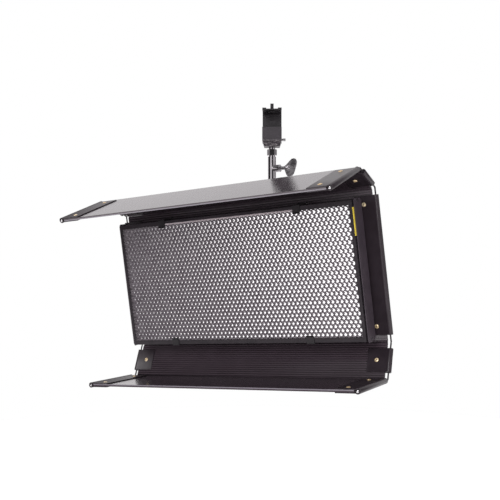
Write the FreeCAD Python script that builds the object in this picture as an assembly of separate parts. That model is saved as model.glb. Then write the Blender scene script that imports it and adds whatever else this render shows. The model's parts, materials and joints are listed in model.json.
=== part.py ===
import FreeCAD, Part
import math
import os

# Folding barn-door shell with a louvred panel light, hung from a pipe clamp.
# Millimetres, +Z up. The origin is the centre of the pipe seat in the clamp.
# The head is modelled square in its own frame (X along its length, -Y towards
# its open face, Z up its face) and then hung at its resting twist and tilt.

V = FreeCAD.Vector
X_AXIS, Y_AXIS, Z_AXIS = V(1, 0, 0), V(0, 1, 0), V(0, 0, 1)

# ---------------------------------------------------------------- rest pose
PAN = 28.0              # clamp about the stem, degrees
TILT = 6.05             # head nose-down
ROLL = -4.1            # head about its own face normal
TOP_LEAN = 60.0         # top hinge panel, forward from the back panel
TOP_DOOR = 102.3        # top door, forward from the back panel
BOTTOM_LEAN = 31.0
BOTTOM_DOOR = 96.8

# ---------------------------------------------------------- clearances
RUN = 0.05              # radial running clearance
SEAT = 0.1              # gap between pieces of one body that only rest together
PART_GAP = 0.3          # gap between pieces that move past each other
PAST = 1.0              # how far a cut runs past the face that it opens
EDGE = 1.0              # small bevel on turned pieces

# --------------------------------------- the light and the shell round it
LOUVRE_LENGTH = 600.0
LOUVRE_HEIGHT = 290.0
SHEET_MARGIN = 21.0     # sheet beyond each end of the light
BACK_MARGIN = 16.5      # back panel beyond the light, above and below, before it is raised
SHELL_RISE = 4.0        # back panel's middle above the light's

# ------------------------------------------------------ fluted-sheet shell
SHEET_LENGTH = LOUVRE_LENGTH + 2 * SHEET_MARGIN
SHEET_THICK = 5.0
SKIN = 0.7
FLUTE_PITCH = 5.1
BACK_HEIGHT = LOUVRE_HEIGHT + 2 * BACK_MARGIN
HINGE_WIDTH = 82.0
DOOR_GAP = 3.0          # between the closed doors
DOOR_WIDTH = (BACK_HEIGHT - DOOR_GAP) / 2
LIP_THICK = 1.0         # crushed sheet at a crease
BEAD_R = 1.2
LIP_ROOM = 0.15         # between a lip and the bead it turns on
LIP_START = BEAD_R + LIP_ROOM
TAPER_START = BEAD_R + 0.4
TAPER_END = TAPER_START + (SHEET_THICK - LIP_THICK) / 2
SHEET_END = SHEET_LENGTH / 2

# ------------------------------------------------ sleeves, rivets and wires
SLEEVE_SKIN = 2.0
SLEEVE_WIDTH = 39.5     # lap over the sheet
SLEEVE_BACK_MARGIN = 15.0
SLEEVE_HINGE_MARGIN = 15.5
SLEEVE_DOOR_MARGIN = 15.0
WIRE_R = 1.7
WIRE_OUT = 7.2          # wire centre beyond the sheet's end
BEAD_LOOP_R = 6.0       # outside of the loop round the wire
WIRE_X = SHEET_END + WIRE_OUT
WIRE_CAP_R = 3.0        # head on each wire at a door's free edge
WIRE_CAP_RISE = 1.2
RIVET_HEAD_R = 4.6
RIVET_HEAD_H = 1.4
RIVET_SHANK_R = 2.4
RIVET_BORE_R = 1.3
RIVET_INSET = 19.4      # from the sheet's end
RIVET_X = SHEET_END - RIVET_INSET
RIVET_BACK_Z = 128.0    # above and below the middle of the back panel
RIVET_DOOR_EDGE = 36.0  # from the crease
RIVET_DOOR_FREE = 19.5  # from the free edge

# ------------------------------------------------------------- panel light
LOUVRE_DEPTH = 14.0
LOUVRE_WALL = 1.2
LIP_END = 7.0           # front lip at the short ends
LIP_LONG = 10.0         # front lip along the long sides
CELL_PITCH = 30.5       # three times the pitch of the real cells
CELL_WALL = 1.2
CORE_RIM = 2.0          # whole cells keep this far inside the core's edge
CORE_GAP = 0.1          # round the core in its channel
BODY_INSET = 1.0        # body's long sides inside the louvre frame's
BODY_HEIGHT = LOUVRE_HEIGHT - 2 * BODY_INSET
BODY_END_GAP = 2.5      # channel between the louvre frame and an end plate
BODY_WALL = 1.6
LEDGE = 6.0             # ledge that the diffuser rests on
DIFFUSER_THICK = 3.0
DIFFUSER_BACK = 5.5     # ledge below the body's front rim
BACK_PLANE = 64.5       # middle of the back panel behind the louvre's face
BOSS_HEIGHT = 14.0
BOSS_R = 9.0
LED_BOARD_THICK = 1.6
LED_BOARD_HALF = 18.0   # half the height of a strip
LED_BOARD_END = 6.0     # strip to the inside of the body's end
LED_ROWS = 3
LEDS_PER_ROW = 10
LED_HALF = 4.0
LED_RISE = 2.0
END_PLATE_THICK = 1.6
END_PLATE_FRONT = 3.0
END_PLATE_DEPTH = 40.0
END_PLATE_PROUD = 3.0   # end plate beyond the louvre frame, above and below
END_PLATE_HEIGHT = LOUVRE_HEIGHT + 2 * END_PLATE_PROUD
END_PLATE_CHAMFER = 6.0
END_SCREW_R = 1.5
END_SCREW_HEAD_R = 3.2
END_SCREW_HEAD_H = 1.5
END_SCREW_LENGTH = 6.0
END_SCREW_LAND = 0.4    # from the ledge's face to the screw
END_SCREW_EDGE = 5.0    # from the end plate's corner edge
TAB_THICK = 0.5
TAB_LENGTH = 58.0
TAB_TOP = 14.5          # below the louvre frame's top

# ------------------------------------------------------------ louvre clips
CLIP_X = 175.0
CLIP_WIDTH = 18.0
CLIP_THICK = 1.5
CLIP_REACH = 13.0       # hook down the front of the frame
CLIP_PIN_R = 1.3
CLIP_KNUCKLE_R = 2.6
CLIP_PIN_Y = 30.0
CLIP_EAR = 1.6
CLIP_FOOT = 5.0         # half depth of a bracket's foot
CLIP_FOOT_THICK = 0.8
CLIP_CURL_OUT = 2.4     # finger lip at the hook's end
CLIP_CURL_DROP = 2.5

# ------------------------------------------------------------- power inlet
INLET_X = -150.0
INLET_Z = 62.0
INLET_R = 13.0
INLET_BORE_R = 10.0
INLET_FLANGE_R = 17.0
INLET_ROUND = 1.0       # back panel's hole round the flange
INLET_FLANGE = 2.0
INLET_FLOOR = 12.0      # socket's floor above the body's back
INLET_LENGTH = 26.0
INLET_SUNK = 1.5        # barrel below the body's back
INLET_PIN_R = 1.0
INLET_PIN_CIRCLE = 5.0
INLET_PIN_LENGTH = 7.0
INLET_PINS = 4

# ------------------------------------------------------- mount on the back
PLATE_R = 62.0
PLATE_THICK = 6.0
PLATE_SCREW_R = 3.0
PLATE_SCREW_AF = 10.0
PLATE_SCREW_HEAD = 4.0
PLATE_PCD = 96.0
PLATE_EDGE = 1.5        # bevel round the plate
CUP_FILLET = 3.0
CUP_R = 28.0
CUP_DEPTH = 16.0
FLANGE_R = 20.0
FLANGE_THICK = 6.0
RING_LIP = 4.0
ARM_R = 12.0
PIVOT_Y = 184.8         # tilt pivot behind the louvre's face
FORK_R = 18.0
FORK_EAR = 8.0
FORK_ROOT = 12.0        # solid block behind the fork's round ends
TONGUE_ROOM = 1.5       # between the tongue and the fork's throat
TONGUE_THICK = 20.0
TONGUE_R = 20.0
TILT_BOLT_R = 6.0
TILT_HEAD_AF = 19.0
TILT_HEAD = 6.0
TILT_COLLAR = 7.0
NECK_R = 14.0
NECK_RISE = 53.0        # knuckle's socket rim above the pivot
NECK_EDGE = 2.0
SOCKET_LAND = 4.0       # tongue's rim to the socket's floor
STEM_PIN_DOWN = 9.0     # below the socket's rim
TWIST_SCREW_R = 3.0
TWIST_KNOB_R = 9.0
TWIST_KNOB_H = 12.0

# ------------------------------------------------------- stem and wing screw
PIVOT_DROP = 353.9      # pipe centre down to the tilt pivot
STEM_R = 10.0
STEM_TOP = -82.8
SPIGOT_R = 8.0
SPIGOT_END = -182.0
STEM_PIN_R = 2.0
LOCK_Z = -111.6
LOCK_BOSS_R = 9.0
LOCK_BOSS_OUT = 22.5
LOCK_SCREW_R = 4.2
WING_HUB_X = 36.6
WING_SPAN = 26.0
WING_WIDTH = 27.0
WING_THICK = 5.0
WING_HUB_R = 6.5
WING_TURN = -30.0
WING_BOSS = 15.0        # length of the round hub along the screw

# -------------------------------------------------------------- pipe clamp
PIPE_R = 24.15          # 48.3 mm pipe
SEAT_R = PIPE_R + 0.1
CLAMP_WIDTH = 46.5
BLOCK_FRONT = 29.0
BLOCK_BACK = 26.0
BLOCK_RIM = -14.3
BLOCK_BASE = -48.0
FOOT_BASE = -59.6
BLOCK_BEVEL = 1.2
FOOT_SHOULDER = 1.0     # foot's top inside the block's ends
FOOT_SHOULDER_Y = 2.0
FOOT_TAPER = 4.5        # foot's base inside the block's ends
FOOT_TAPER_Y = 9.0
LUG_DROP = 4.5          # lugs' undercut below the pivot
JAW_THICK = 4.0
JAW_IN_Y = 28.0         # spine's inner face behind the pipe's centre
JAW_TOP = 27.8          # bar's inner face above the pipe's centre
JAW_BEND_R = 8.0
JAW_TIP = -14.0
JAW_RIB = 2.4
JAW_RIB_WIDTH = 9.0
JAW_FOOT = -26.0        # full width of the spine ends here
JAW_RIB_FOOT = 2.0
JAW_PIVOT_Y = JAW_IN_Y + JAW_THICK / 2
PIVOT_Z = -37.5
JAW_KNUCKLE_R = 8.0
JAW_KNUCKLE_WIDTH = 23.4
JAW_PIN_R = 3.0
JAW_PIN_HEAD_R = 3.6
JAW_PIN_HEAD = 7.2
JAW_PIN_PROUD = 3.0     # bare pin between the lug and its head
STUD_R = 4.0
STUD_Z = -20.0
STUD_COVER = 1.0        # between the pipe seat and the stud's inner end
STUD_ROOT = math.sqrt(SEAT_R ** 2 - (STUD_Z + STUD_R) ** 2) + STUD_COVER
STUD_END = 70.0
STUD_ROOM = 0.5         # between the stud and the hook's slot
STUD_SWING = 5.0        # slot's extra height for the hook's swing
NUT_R = 9.0
NUT_LENGTH = 14.0
NUT_WING = 16.0
NUT_WING_RISE = 16.5
NUT_WING_THICK = 4.0
PRESS_R = 3.6
PRESS_PAD_R = 8.0
PRESS_PAD = 3.2
PRESS_TOP = 45.7
PRESS_HEAD = 11.0
PRESS_HEAD_HALF = 4.0
COLLAR_TOP = -65.1
COLLAR_BASE = -79.6
COLLAR_AF = 20.8
SPIGOT_ROOT = 20.0      # spigot's upper end inside the foot
SPIGOT_EDGE = 1.5
GROOVE_DEPTH = 0.6


# ------------------------------------------------------------------ helpers
def block(x0, x1, y0, y1, z0, z1):
    return Part.makeBox(x1 - x0, y1 - y0, z1 - z0, V(x0, y0, z0))


def rod(radius, start, axis, length):
    return Part.makeCylinder(radius, length, start, axis)


def turned(points, start, axis):
    """Solid of revolution from (radius, height) points about an axis."""
    wire = Part.makePolygon([V(r, 0, h) for r, h in points + points[:1]])
    solid = Part.Face(wire).revolve(V(0, 0, 0), Z_AXIS, 360)
    solid.Placement = FreeCAD.Placement(start, FreeCAD.Rotation(Z_AXIS, axis))
    return solid


def hexagon(across_flats, start, axis, length):
    corner = V(across_flats / math.sqrt(3), 0, 0)
    points = [FreeCAD.Rotation(Z_AXIS, 60 * i).multVec(corner) for i in range(7)]
    prism = Part.Face(Part.makePolygon(points)).extrude(Z_AXIS * length)
    prism.Placement = FreeCAD.Placement(start, FreeCAD.Rotation(Z_AXIS, axis))
    return prism


def prism_x(points, x0, x1):
    """Polygon of (y, z) points drawn out along X."""
    wire = Part.makePolygon([V(x0, y, z) for y, z in points + points[:1]])
    return Part.Face(wire).extrude(X_AXIS * (x1 - x0))


def fused(shapes):
    solid = shapes[0]
    for shape in shapes[1:]:
        solid = solid.fuse(shape)
    return solid.removeSplitter()


def drilled(shape, radius, start, axis, length):
    """The shape with a round hole that runs past both of the given ends."""
    return shape.cut(rod(radius, start - axis * PAST, axis, length + 2 * PAST))


def moved(shape, placement):
    copy = shape.copy()
    copy.Placement = placement.multiply(copy.Placement)
    return copy


def turn(axis, degrees, at=V(0, 0, 0)):
    return FreeCAD.Placement(V(0, 0, 0), FreeCAD.Rotation(axis, degrees), at)


def shift(x, y, z):
    return FreeCAD.Placement(V(x, y, z), FreeCAD.Rotation())


def save(name, shapes, placement):
    solids = [solid for shape in shapes for solid in shape.Solids]
    group = solids[0] if len(solids) == 1 else Part.makeCompound(solids)
    moved(group, placement).exportStep("parts/" + name + ".step")


# --------------------------------------------------------------- placements
PIVOT = V(0, PIVOT_Y, 0)
TILT_TURN = FreeCAD.Rotation(X_AXIS, TILT)
HEAD_TURN = TILT_TURN.multiply(FreeCAD.Rotation(Y_AXIS, ROLL))
PIVOT_DOWN = V(0, 0, -PIVOT_DROP)
HEAD = FreeCAD.Placement(PIVOT_DOWN - HEAD_TURN.multVec(PIVOT), HEAD_TURN)
ARM = FreeCAD.Placement(PIVOT_DOWN - TILT_TURN.multVec(PIVOT), TILT_TURN)
STEM = FreeCAD.Placement()
CLAMP = FreeCAD.Placement(V(0, 0, 0), FreeCAD.Rotation(Z_AXIS, PAN))


def fold_places(side, lean, door):
    """Places of one side's hinge panel and door; side is +1 at the top and -1 below."""
    crease = V(0, BACK_PLANE, SHELL_RISE + side * BACK_HEIGHT / 2)
    flip = turn(Y_AXIS, 0 if side > 0 else 180)
    hinge_turn = turn(X_AXIS, side * lean)
    door_turn = turn(X_AXIS, side * door)
    reach = hinge_turn.multiply(flip).multVec(V(0, 0, HINGE_WIDTH))
    hinge_place = FreeCAD.Placement(crease, hinge_turn.multiply(flip).Rotation)
    door_place = FreeCAD.Placement(crease + reach, door_turn.multiply(flip).Rotation)
    return hinge_place, door_place


# -------------------------------------------------------------------- shell
def sheet_edge(kind):
    """Half outline, (distance from the crease or edge, half thickness), of one long edge."""
    half, lip = SHEET_THICK / 2, LIP_THICK / 2
    if kind == "free":
        return [(0, half)]
    start = 0 if kind == "bead" else LIP_START
    return [(start, lip), (TAPER_START, lip), (TAPER_END, half)]


def sheet(width, low, high, rivets):
    """One fluted panel from its first crease, width along Z and thickness along Y."""
    low_half = sheet_edge(low)
    high_half = [(width - s, t) for s, t in reversed(sheet_edge(high))]
    upper = low_half + high_half
    outline = [(t, s) for s, t in upper] + [(-t, s) for s, t in reversed(upper)]
    panel = prism_x(outline, -SHEET_END, SHEET_END)
    first = TAPER_END if low != "free" else 0
    last = width - (TAPER_END if high != "free" else 0)
    count = int((last - first - SKIN) / FLUTE_PITCH)
    margin = (last - first - count * FLUTE_PITCH) / 2
    flutes = []
    for i in range(count):
        s0 = first + margin + i * FLUTE_PITCH
        flutes.append(block(-SHEET_END - PAST, SHEET_END + PAST, -SHEET_THICK / 2 + SKIN,
                            SHEET_THICK / 2 - SKIN, s0 + SKIN / 2, s0 + FLUTE_PITCH - SKIN / 2))
    panel = panel.cut(Part.makeCompound(flutes))
    for x in (-RIVET_X, RIVET_X):
        for s in rivets:
            panel = drilled(panel, RIVET_SHANK_R + RUN, V(x, -SHEET_THICK / 2, s), Y_AXIS, SHEET_THICK)
    for edge, kind in ((0, low), (width, high)):
        if kind == "bead":
            panel = panel.fuse(rod(BEAD_R, V(-SHEET_END, 0, edge), X_AXIS, SHEET_LENGTH))
    return panel


def sleeve(side, low, high, rivets):
    """Sleeve wrapped round one short end of a panel; side is +1 or -1 along X."""
    half = SHEET_THICK / 2
    outer = half + SLEEVE_SKIN
    lap = block(SHEET_END - SLEEVE_WIDTH, WIRE_X, -outer, outer, low, high)
    loop = rod(BEAD_LOOP_R, V(WIRE_X, 0, low), Z_AXIS, high - low)
    body = lap.fuse(loop)
    body = body.cut(block(SHEET_END - SLEEVE_WIDTH - PAST, SHEET_END + SEAT, -half, half,
                          low - PAST, high + PAST))
    body = drilled(body, WIRE_R + SEAT, V(WIRE_X, 0, low), Z_AXIS, high - low)
    for s in rivets:
        body = drilled(body, RIVET_SHANK_R + RUN, V(RIVET_X, -outer, s), Y_AXIS, 2 * outer)
    return body if side > 0 else moved(body, turn(Z_AXIS, 180))


def rivet(x, s):
    """Tubular rivet through both laps of a sleeve and the sheet between them."""
    grip = SHEET_THICK / 2 + SLEEVE_SKIN
    top = grip + RIVET_HEAD_H
    profile = [(RIVET_BORE_R, -top), (RIVET_SHANK_R, -top), (RIVET_HEAD_R, -grip),
               (RIVET_SHANK_R, -grip), (RIVET_SHANK_R, grip), (RIVET_HEAD_R, grip),
               (RIVET_SHANK_R, top), (RIVET_BORE_R, top)]
    return turned(profile, V(x, 0, s), Y_AXIS)


def wire(x, low, high, low_kind, high_kind):
    """Bendable wire along one end of a panel, with a ball at a crease and a head at a free edge."""
    start = low + (WIRE_R + SEAT if low_kind == "lip" else 0)
    run = rod(WIRE_R, V(x, 0, start), Z_AXIS, high + SEAT - start)
    if high_kind == "free":
        radius, rise = WIRE_CAP_R, WIRE_CAP_RISE
        run = run.fuse(turned([(0, 0), (radius, 0), (radius, 0.4 * rise), (0.7 * radius, rise), (0, rise)],
                              V(x, 0, high + SEAT), Z_AXIS))
    for at, kind in ((low, low_kind), (high, high_kind)):
        if kind == "bead":
            run = run.fuse(Part.makeSphere(WIRE_R, V(x, 0, at)))
    return run


def shell_panel(name, width, low, high, sleeve_span, rivets, place):
    """Write one panel of the shell with its sleeves, rivets and wires."""
    s0, s1 = sleeve_span
    save(name + "_panel", [sheet(width, low, high, rivets)], place)
    save(name + "_sleeves", [sleeve(side, s0, s1, rivets) for side in (-1, 1)], place)
    save(name + "_rivets", [rivet(x, s) for x in (-RIVET_X, RIVET_X) for s in rivets], place)
    save(name + "_wires", [wire(x, 0, width, low, high) for x in (-WIRE_X, WIRE_X)], place)


def shell():
    back_place = HEAD.multiply(shift(0, BACK_PLANE, SHELL_RISE - BACK_HEIGHT / 2))
    middle = BACK_HEIGHT / 2
    shell_back(back_place, middle)
    for name, side, lean, door in (("top", 1, TOP_LEAN, TOP_DOOR),
                                   ("bottom", -1, BOTTOM_LEAN, BOTTOM_DOOR)):
        hinge_place, door_place = fold_places(side, lean, door)
        shell_panel(name + "_hinge", HINGE_WIDTH, "lip", "bead",
                    (SLEEVE_HINGE_MARGIN, HINGE_WIDTH - SLEEVE_HINGE_MARGIN),
                    [HINGE_WIDTH / 2], HEAD.multiply(hinge_place))
        shell_panel(name + "_door", DOOR_WIDTH, "lip", "free",
                    (SLEEVE_DOOR_MARGIN, DOOR_WIDTH),
                    [RIVET_DOOR_EDGE, DOOR_WIDTH - RIVET_DOOR_FREE], HEAD.multiply(door_place))


def shell_back(place, middle):
    """The back panel, pierced for the mount's screws and the power inlet."""
    rivets = [middle - RIVET_BACK_Z, middle + RIVET_BACK_Z]
    axis_z = middle - SHELL_RISE
    panel = sheet(BACK_HEIGHT, "bead", "bead", rivets)
    for x, z in plate_screws():
        start = V(x, -SHEET_THICK / 2, axis_z + z)
        panel = drilled(panel, PLATE_SCREW_R + SEAT, start, Y_AXIS, SHEET_THICK)
    inlet = V(INLET_X, -SHEET_THICK / 2, axis_z + INLET_Z)
    panel = drilled(panel, INLET_FLANGE_R + INLET_ROUND, inlet, Y_AXIS, SHEET_THICK)
    save("back_panel", [panel], place)
    span = (SLEEVE_BACK_MARGIN, BACK_HEIGHT - SLEEVE_BACK_MARGIN)
    save("back_sleeves", [sleeve(side, span[0], span[1], rivets) for side in (-1, 1)], place)
    save("back_rivets", [rivet(x, s) for x in (-RIVET_X, RIVET_X) for s in rivets], place)
    save("back_wires", [wire(x, 0, BACK_HEIGHT, "bead", "bead") for x in (-WIRE_X, WIRE_X)], place)


def plate_screws():
    """Centres (x, z) of the four screws that hold the mount plate."""
    radius = PLATE_PCD / 2
    return [(radius * math.cos(math.radians(a)), radius * math.sin(math.radians(a)))
            for a in (45, 135, 225, 315)]


# ------------------------------------------------------------- panel light
BODY_FRONT = LOUVRE_DEPTH + SEAT
PANEL_INNER = BACK_PLANE - SHEET_THICK / 2
BODY_BACK = PANEL_INNER - BOSS_HEIGHT
BODY_HALF_X = LOUVRE_LENGTH / 2 + BODY_END_GAP
BODY_HALF_Z = BODY_HEIGHT / 2
LEDGE_Y = BODY_FRONT + DIFFUSER_BACK
END_SCREW_Y = LEDGE_Y + END_SCREW_R + END_SCREW_LAND
END_SCREW_Z = END_PLATE_HEIGHT / 2 - END_SCREW_EDGE


def louvre_frame():
    """Channel frame: two lips and an outer wall round the honeycomb."""
    half_x, half_z = LOUVRE_LENGTH / 2, LOUVRE_HEIGHT / 2
    outer = block(-half_x, half_x, 0, LOUVRE_DEPTH, -half_z, half_z)
    channel = block(-half_x + LOUVRE_WALL, half_x - LOUVRE_WALL, LOUVRE_WALL,
                    LOUVRE_DEPTH - LOUVRE_WALL, -half_z + LOUVRE_WALL, half_z - LOUVRE_WALL)
    window = block(-half_x + LIP_END, half_x - LIP_END, -PAST, LOUVRE_DEPTH + PAST,
                   -half_z + LIP_LONG, half_z - LIP_LONG)
    return outer.cut(channel).cut(window)


def honeycomb_core():
    """Louvre core of upright hexagonal cells, alternate rows set over by half a cell."""
    half_x = LOUVRE_LENGTH / 2 - LOUVRE_WALL - CORE_GAP
    half_z = LOUVRE_HEIGHT / 2 - LOUVRE_WALL - CORE_GAP
    y0 = LOUVRE_WALL + CORE_GAP
    depth = LOUVRE_DEPTH - 2 * y0
    radius = (CELL_PITCH - CELL_WALL) / math.sqrt(3)
    row_rise = CELL_PITCH * math.sqrt(3) / 2
    rows = 1 + int(2 * (half_z - CORE_RIM - radius) / row_rise)
    columns = int(2 * (half_x - CORE_RIM) / CELL_PITCH)
    cells = []
    for row in range(rows):
        centre_z = (row - (rows - 1) / 2) * row_rise
        count = columns - row % 2
        for column in range(count):
            centre_x = (column - (count - 1) / 2) * CELL_PITCH
            corners = [V(centre_x + radius * math.sin(math.radians(60 * i)), y0,
                         centre_z + radius * math.cos(math.radians(60 * i))) for i in range(7)]
            cells.append(Part.makePolygon(corners))
    sides = [(-half_x, -half_z), (half_x, -half_z), (half_x, half_z), (-half_x, half_z)]
    border = Part.makePolygon([V(x, y0, z) for x, z in sides + sides[:1]])
    return Part.Face([border] + cells).extrude(Y_AXIS * depth)


def housing_tray():
    """Shallow body of the light, open to the front, with the diffuser's ledge."""
    tray = block(-BODY_HALF_X, BODY_HALF_X, BODY_FRONT, BODY_BACK, -BODY_HALF_Z, BODY_HALF_Z)
    rim = block(-BODY_HALF_X + BODY_WALL, BODY_HALF_X - BODY_WALL, BODY_FRONT - PAST, LEDGE_Y,
                -BODY_HALF_Z + BODY_WALL, BODY_HALF_Z - BODY_WALL)
    inside = BODY_WALL + LEDGE
    well = block(-BODY_HALF_X + inside, BODY_HALF_X - inside, LEDGE_Y - PAST, BODY_BACK - BODY_WALL,
                 -BODY_HALF_Z + inside, BODY_HALF_Z - inside)
    tray = tray.cut(rim).cut(well)
    for x, z in plate_screws():
        tray = tray.fuse(rod(BOSS_R, V(x, BODY_BACK, z), Y_AXIS, BOSS_HEIGHT))
        tray = drilled(tray, PLATE_SCREW_R + RUN, V(x, BODY_BACK - BODY_WALL, z), Y_AXIS,
                       BODY_WALL + BOSS_HEIGHT)
    for side in (-1, 1):
        for z in (-END_SCREW_Z, END_SCREW_Z):
            tip = V(side * (BODY_HALF_X - END_SCREW_LENGTH), END_SCREW_Y, z)
            tray = drilled(tray, END_SCREW_R + RUN, tip, X_AXIS * side, END_SCREW_LENGTH)
    return drilled(tray, INLET_R + SEAT, V(INLET_X, BODY_BACK - BODY_WALL, INLET_Z), Y_AXIS, BODY_WALL)


def end_plate(side):
    """Plate over one end of the body, its corners cut off."""
    y0, y1 = END_PLATE_FRONT, END_PLATE_FRONT + END_PLATE_DEPTH
    half, cut = END_PLATE_HEIGHT / 2, END_PLATE_CHAMFER
    outline = [(y0, -half + cut), (y0 + cut / 2, -half), (y1 - cut, -half), (y1, -half + cut),
               (y1, half - cut), (y1 - cut, half), (y0 + cut / 2, half), (y0, half - cut)]
    x0 = BODY_HALF_X
    plate = prism_x(outline, x0, x0 + END_PLATE_THICK)
    for z in (-END_SCREW_Z, END_SCREW_Z):
        plate = drilled(plate, END_SCREW_R + RUN, V(x0, END_SCREW_Y, z), X_AXIS, END_PLATE_THICK)
    return plate if side > 0 else plate.mirror(V(0, 0, 0), X_AXIS)


def end_screw(side, z):
    """Small domed screw through an end plate into the body's ledge."""
    outer = BODY_HALF_X + END_PLATE_THICK
    radius, rise, tip = END_SCREW_HEAD_R, END_SCREW_HEAD_H, -END_SCREW_LENGTH
    profile = [(0, tip), (END_SCREW_R, tip), (END_SCREW_R, 0), (radius, 0), (radius, rise / 2),
               (radius * 0.7, rise), (0, rise)]
    return turned(profile, V(side * outer, END_SCREW_Y, z), X_AXIS * side)


def led_boards():
    """Strips of light-emitting diodes along the floor of the body."""
    floor = BODY_BACK - BODY_WALL
    inner_z = BODY_HALF_Z - BODY_WALL - LEDGE
    row_height = 2 * inner_z / LED_ROWS
    half_x = BODY_HALF_X - BODY_WALL - LEDGE - LED_BOARD_END
    face = floor - LED_BOARD_THICK
    strips = []
    for row in range(LED_ROWS):
        z = -inner_z + (row + 0.5) * row_height
        strip = block(-half_x, half_x, face, floor, z - LED_BOARD_HALF, z + LED_BOARD_HALF)
        for column in range(LEDS_PER_ROW):
            x = (column - (LEDS_PER_ROW - 1) / 2) * 2 * half_x / LEDS_PER_ROW
            strip = strip.fuse(block(x - LED_HALF, x + LED_HALF, face - LED_RISE, face,
                                     z - LED_HALF, z + LED_HALF))
        strips.append(strip)
    return strips


def diffuser_sheet():
    half_x, half_z = BODY_HALF_X - BODY_WALL - SEAT, BODY_HALF_Z - BODY_WALL - SEAT
    return block(-half_x, half_x, LEDGE_Y - DIFFUSER_THICK, LEDGE_Y, -half_z, half_z)


def side_tab():
    """Thin strip stuck to the frame's right-hand side."""
    x0, top = LOUVRE_LENGTH / 2, LOUVRE_HEIGHT / 2 - TAB_TOP
    return block(x0, x0 + TAB_THICK, LOUVRE_WALL, LOUVRE_DEPTH - LOUVRE_WALL, top - TAB_LENGTH, top)


CLIP_FACE = LOUVRE_HEIGHT / 2 + PART_GAP
CLIP_PIN_Z = CLIP_FACE + CLIP_KNUCKLE_R
CLIP_PLACES = [("top_left", -1, 1), ("top_right", 1, 1), ("bottom_left", -1, -1), ("bottom_right", 1, -1)]


def louvre_clip():
    """Sprung strap from its pin over the frame's edge and down its face."""
    half = CLIP_WIDTH / 2
    inner, outer = -PART_GAP, -PART_GAP - CLIP_THICK
    strap = block(-half, half, outer, CLIP_PIN_Y, CLIP_FACE, CLIP_FACE + CLIP_THICK)
    foot = LOUVRE_HEIGHT / 2 - CLIP_REACH
    hook = block(-half, half, outer, inner, foot, CLIP_FACE + CLIP_THICK)
    lip_y, lip_z = outer - CLIP_CURL_OUT, foot - CLIP_CURL_DROP
    curl = prism_x([(inner, foot), (outer, foot), (lip_y, lip_z),
                    (lip_y + 0.8 * CLIP_THICK, lip_z - 0.5 * CLIP_THICK)], -half, half)
    knuckle = rod(CLIP_KNUCKLE_R, V(-half, CLIP_PIN_Y, CLIP_PIN_Z), X_AXIS, CLIP_WIDTH)
    clip = fused([strap, hook, curl, knuckle])
    return drilled(clip, CLIP_PIN_R + RUN, V(-half, CLIP_PIN_Y, CLIP_PIN_Z), X_AXIS, CLIP_WIDTH)


def clip_bracket():
    """Two ears on a foot, fixed to the body's long side."""
    half = CLIP_WIDTH / 2 + PART_GAP
    ears = []
    for side in (-1, 1):
        x0 = half if side > 0 else -half - CLIP_EAR
        ear = prism_x([(CLIP_PIN_Y - CLIP_FOOT, BODY_HALF_Z), (CLIP_PIN_Y + CLIP_FOOT, BODY_HALF_Z),
                       (CLIP_PIN_Y + CLIP_KNUCKLE_R, CLIP_PIN_Z + CLIP_KNUCKLE_R),
                       (CLIP_PIN_Y - CLIP_KNUCKLE_R, CLIP_PIN_Z + CLIP_KNUCKLE_R)], x0, x0 + CLIP_EAR)
        ears.append(ear)
    reach = half + CLIP_EAR
    foot = block(-reach, reach, CLIP_PIN_Y - CLIP_FOOT, CLIP_PIN_Y + CLIP_FOOT,
                 BODY_HALF_Z, BODY_HALF_Z + CLIP_FOOT_THICK)
    bracket = fused(ears + [foot])
    return drilled(bracket, CLIP_PIN_R, V(-reach, CLIP_PIN_Y, CLIP_PIN_Z), X_AXIS, 2 * reach)


def clip_pin():
    half = CLIP_WIDTH / 2 + PART_GAP + CLIP_EAR
    return rod(CLIP_PIN_R, V(-half, CLIP_PIN_Y, CLIP_PIN_Z), X_AXIS, 2 * half)


def clip_place(side_x, side_z):
    flip = turn(Y_AXIS, 0 if side_z > 0 else 180)
    return HEAD.multiply(shift(side_x * CLIP_X, 0, 0)).multiply(flip)


def power_inlet():
    """Round socket on the body's back, let through the back panel."""
    centre = V(INLET_X, BODY_BACK, INLET_Z)
    barrel = rod(INLET_R, centre - Y_AXIS * INLET_SUNK, Y_AXIS, INLET_LENGTH)
    flange = rod(INLET_FLANGE_R, centre, Y_AXIS, INLET_FLANGE)
    socket = barrel.fuse(flange)
    socket = socket.cut(rod(INLET_BORE_R, centre + Y_AXIS * INLET_FLOOR, Y_AXIS, INLET_LENGTH))
    for i in range(INLET_PINS):
        angle = math.radians(360 * (i + 0.5) / INLET_PINS)
        offset = V(INLET_PIN_CIRCLE * math.cos(angle), INLET_FLOOR, INLET_PIN_CIRCLE * math.sin(angle))
        socket = socket.fuse(rod(INLET_PIN_R, centre + offset, Y_AXIS, INLET_PIN_LENGTH))
    return socket


def panel_light():
    save("louvre_frame", [louvre_frame()], HEAD)
    save("honeycomb_core", [honeycomb_core()], HEAD)
    save("louvre_side_tab", [side_tab()], HEAD)
    save("housing_tray", [housing_tray()], HEAD)
    save("diffuser_sheet", [diffuser_sheet()], HEAD)
    save("led_boards", led_boards(), HEAD)
    save("end_plate_left", [end_plate(-1)], HEAD)
    save("end_plate_right", [end_plate(1)], HEAD)
    save("end_plate_screws", [end_screw(s, z) for s in (-1, 1) for z in (-END_SCREW_Z, END_SCREW_Z)], HEAD)
    save("power_inlet", [power_inlet()], HEAD)
    brackets, pins = [], []
    for name, side_x, side_z in CLIP_PLACES:
        place = clip_place(side_x, side_z)
        save("louvre_clip_" + name, [louvre_clip()], place)
        brackets.append(moved(clip_bracket(), place))
        pins.append(moved(clip_pin(), place))
    save("clip_brackets", brackets, FreeCAD.Placement())
    save("clip_pins", pins, FreeCAD.Placement())


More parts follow.
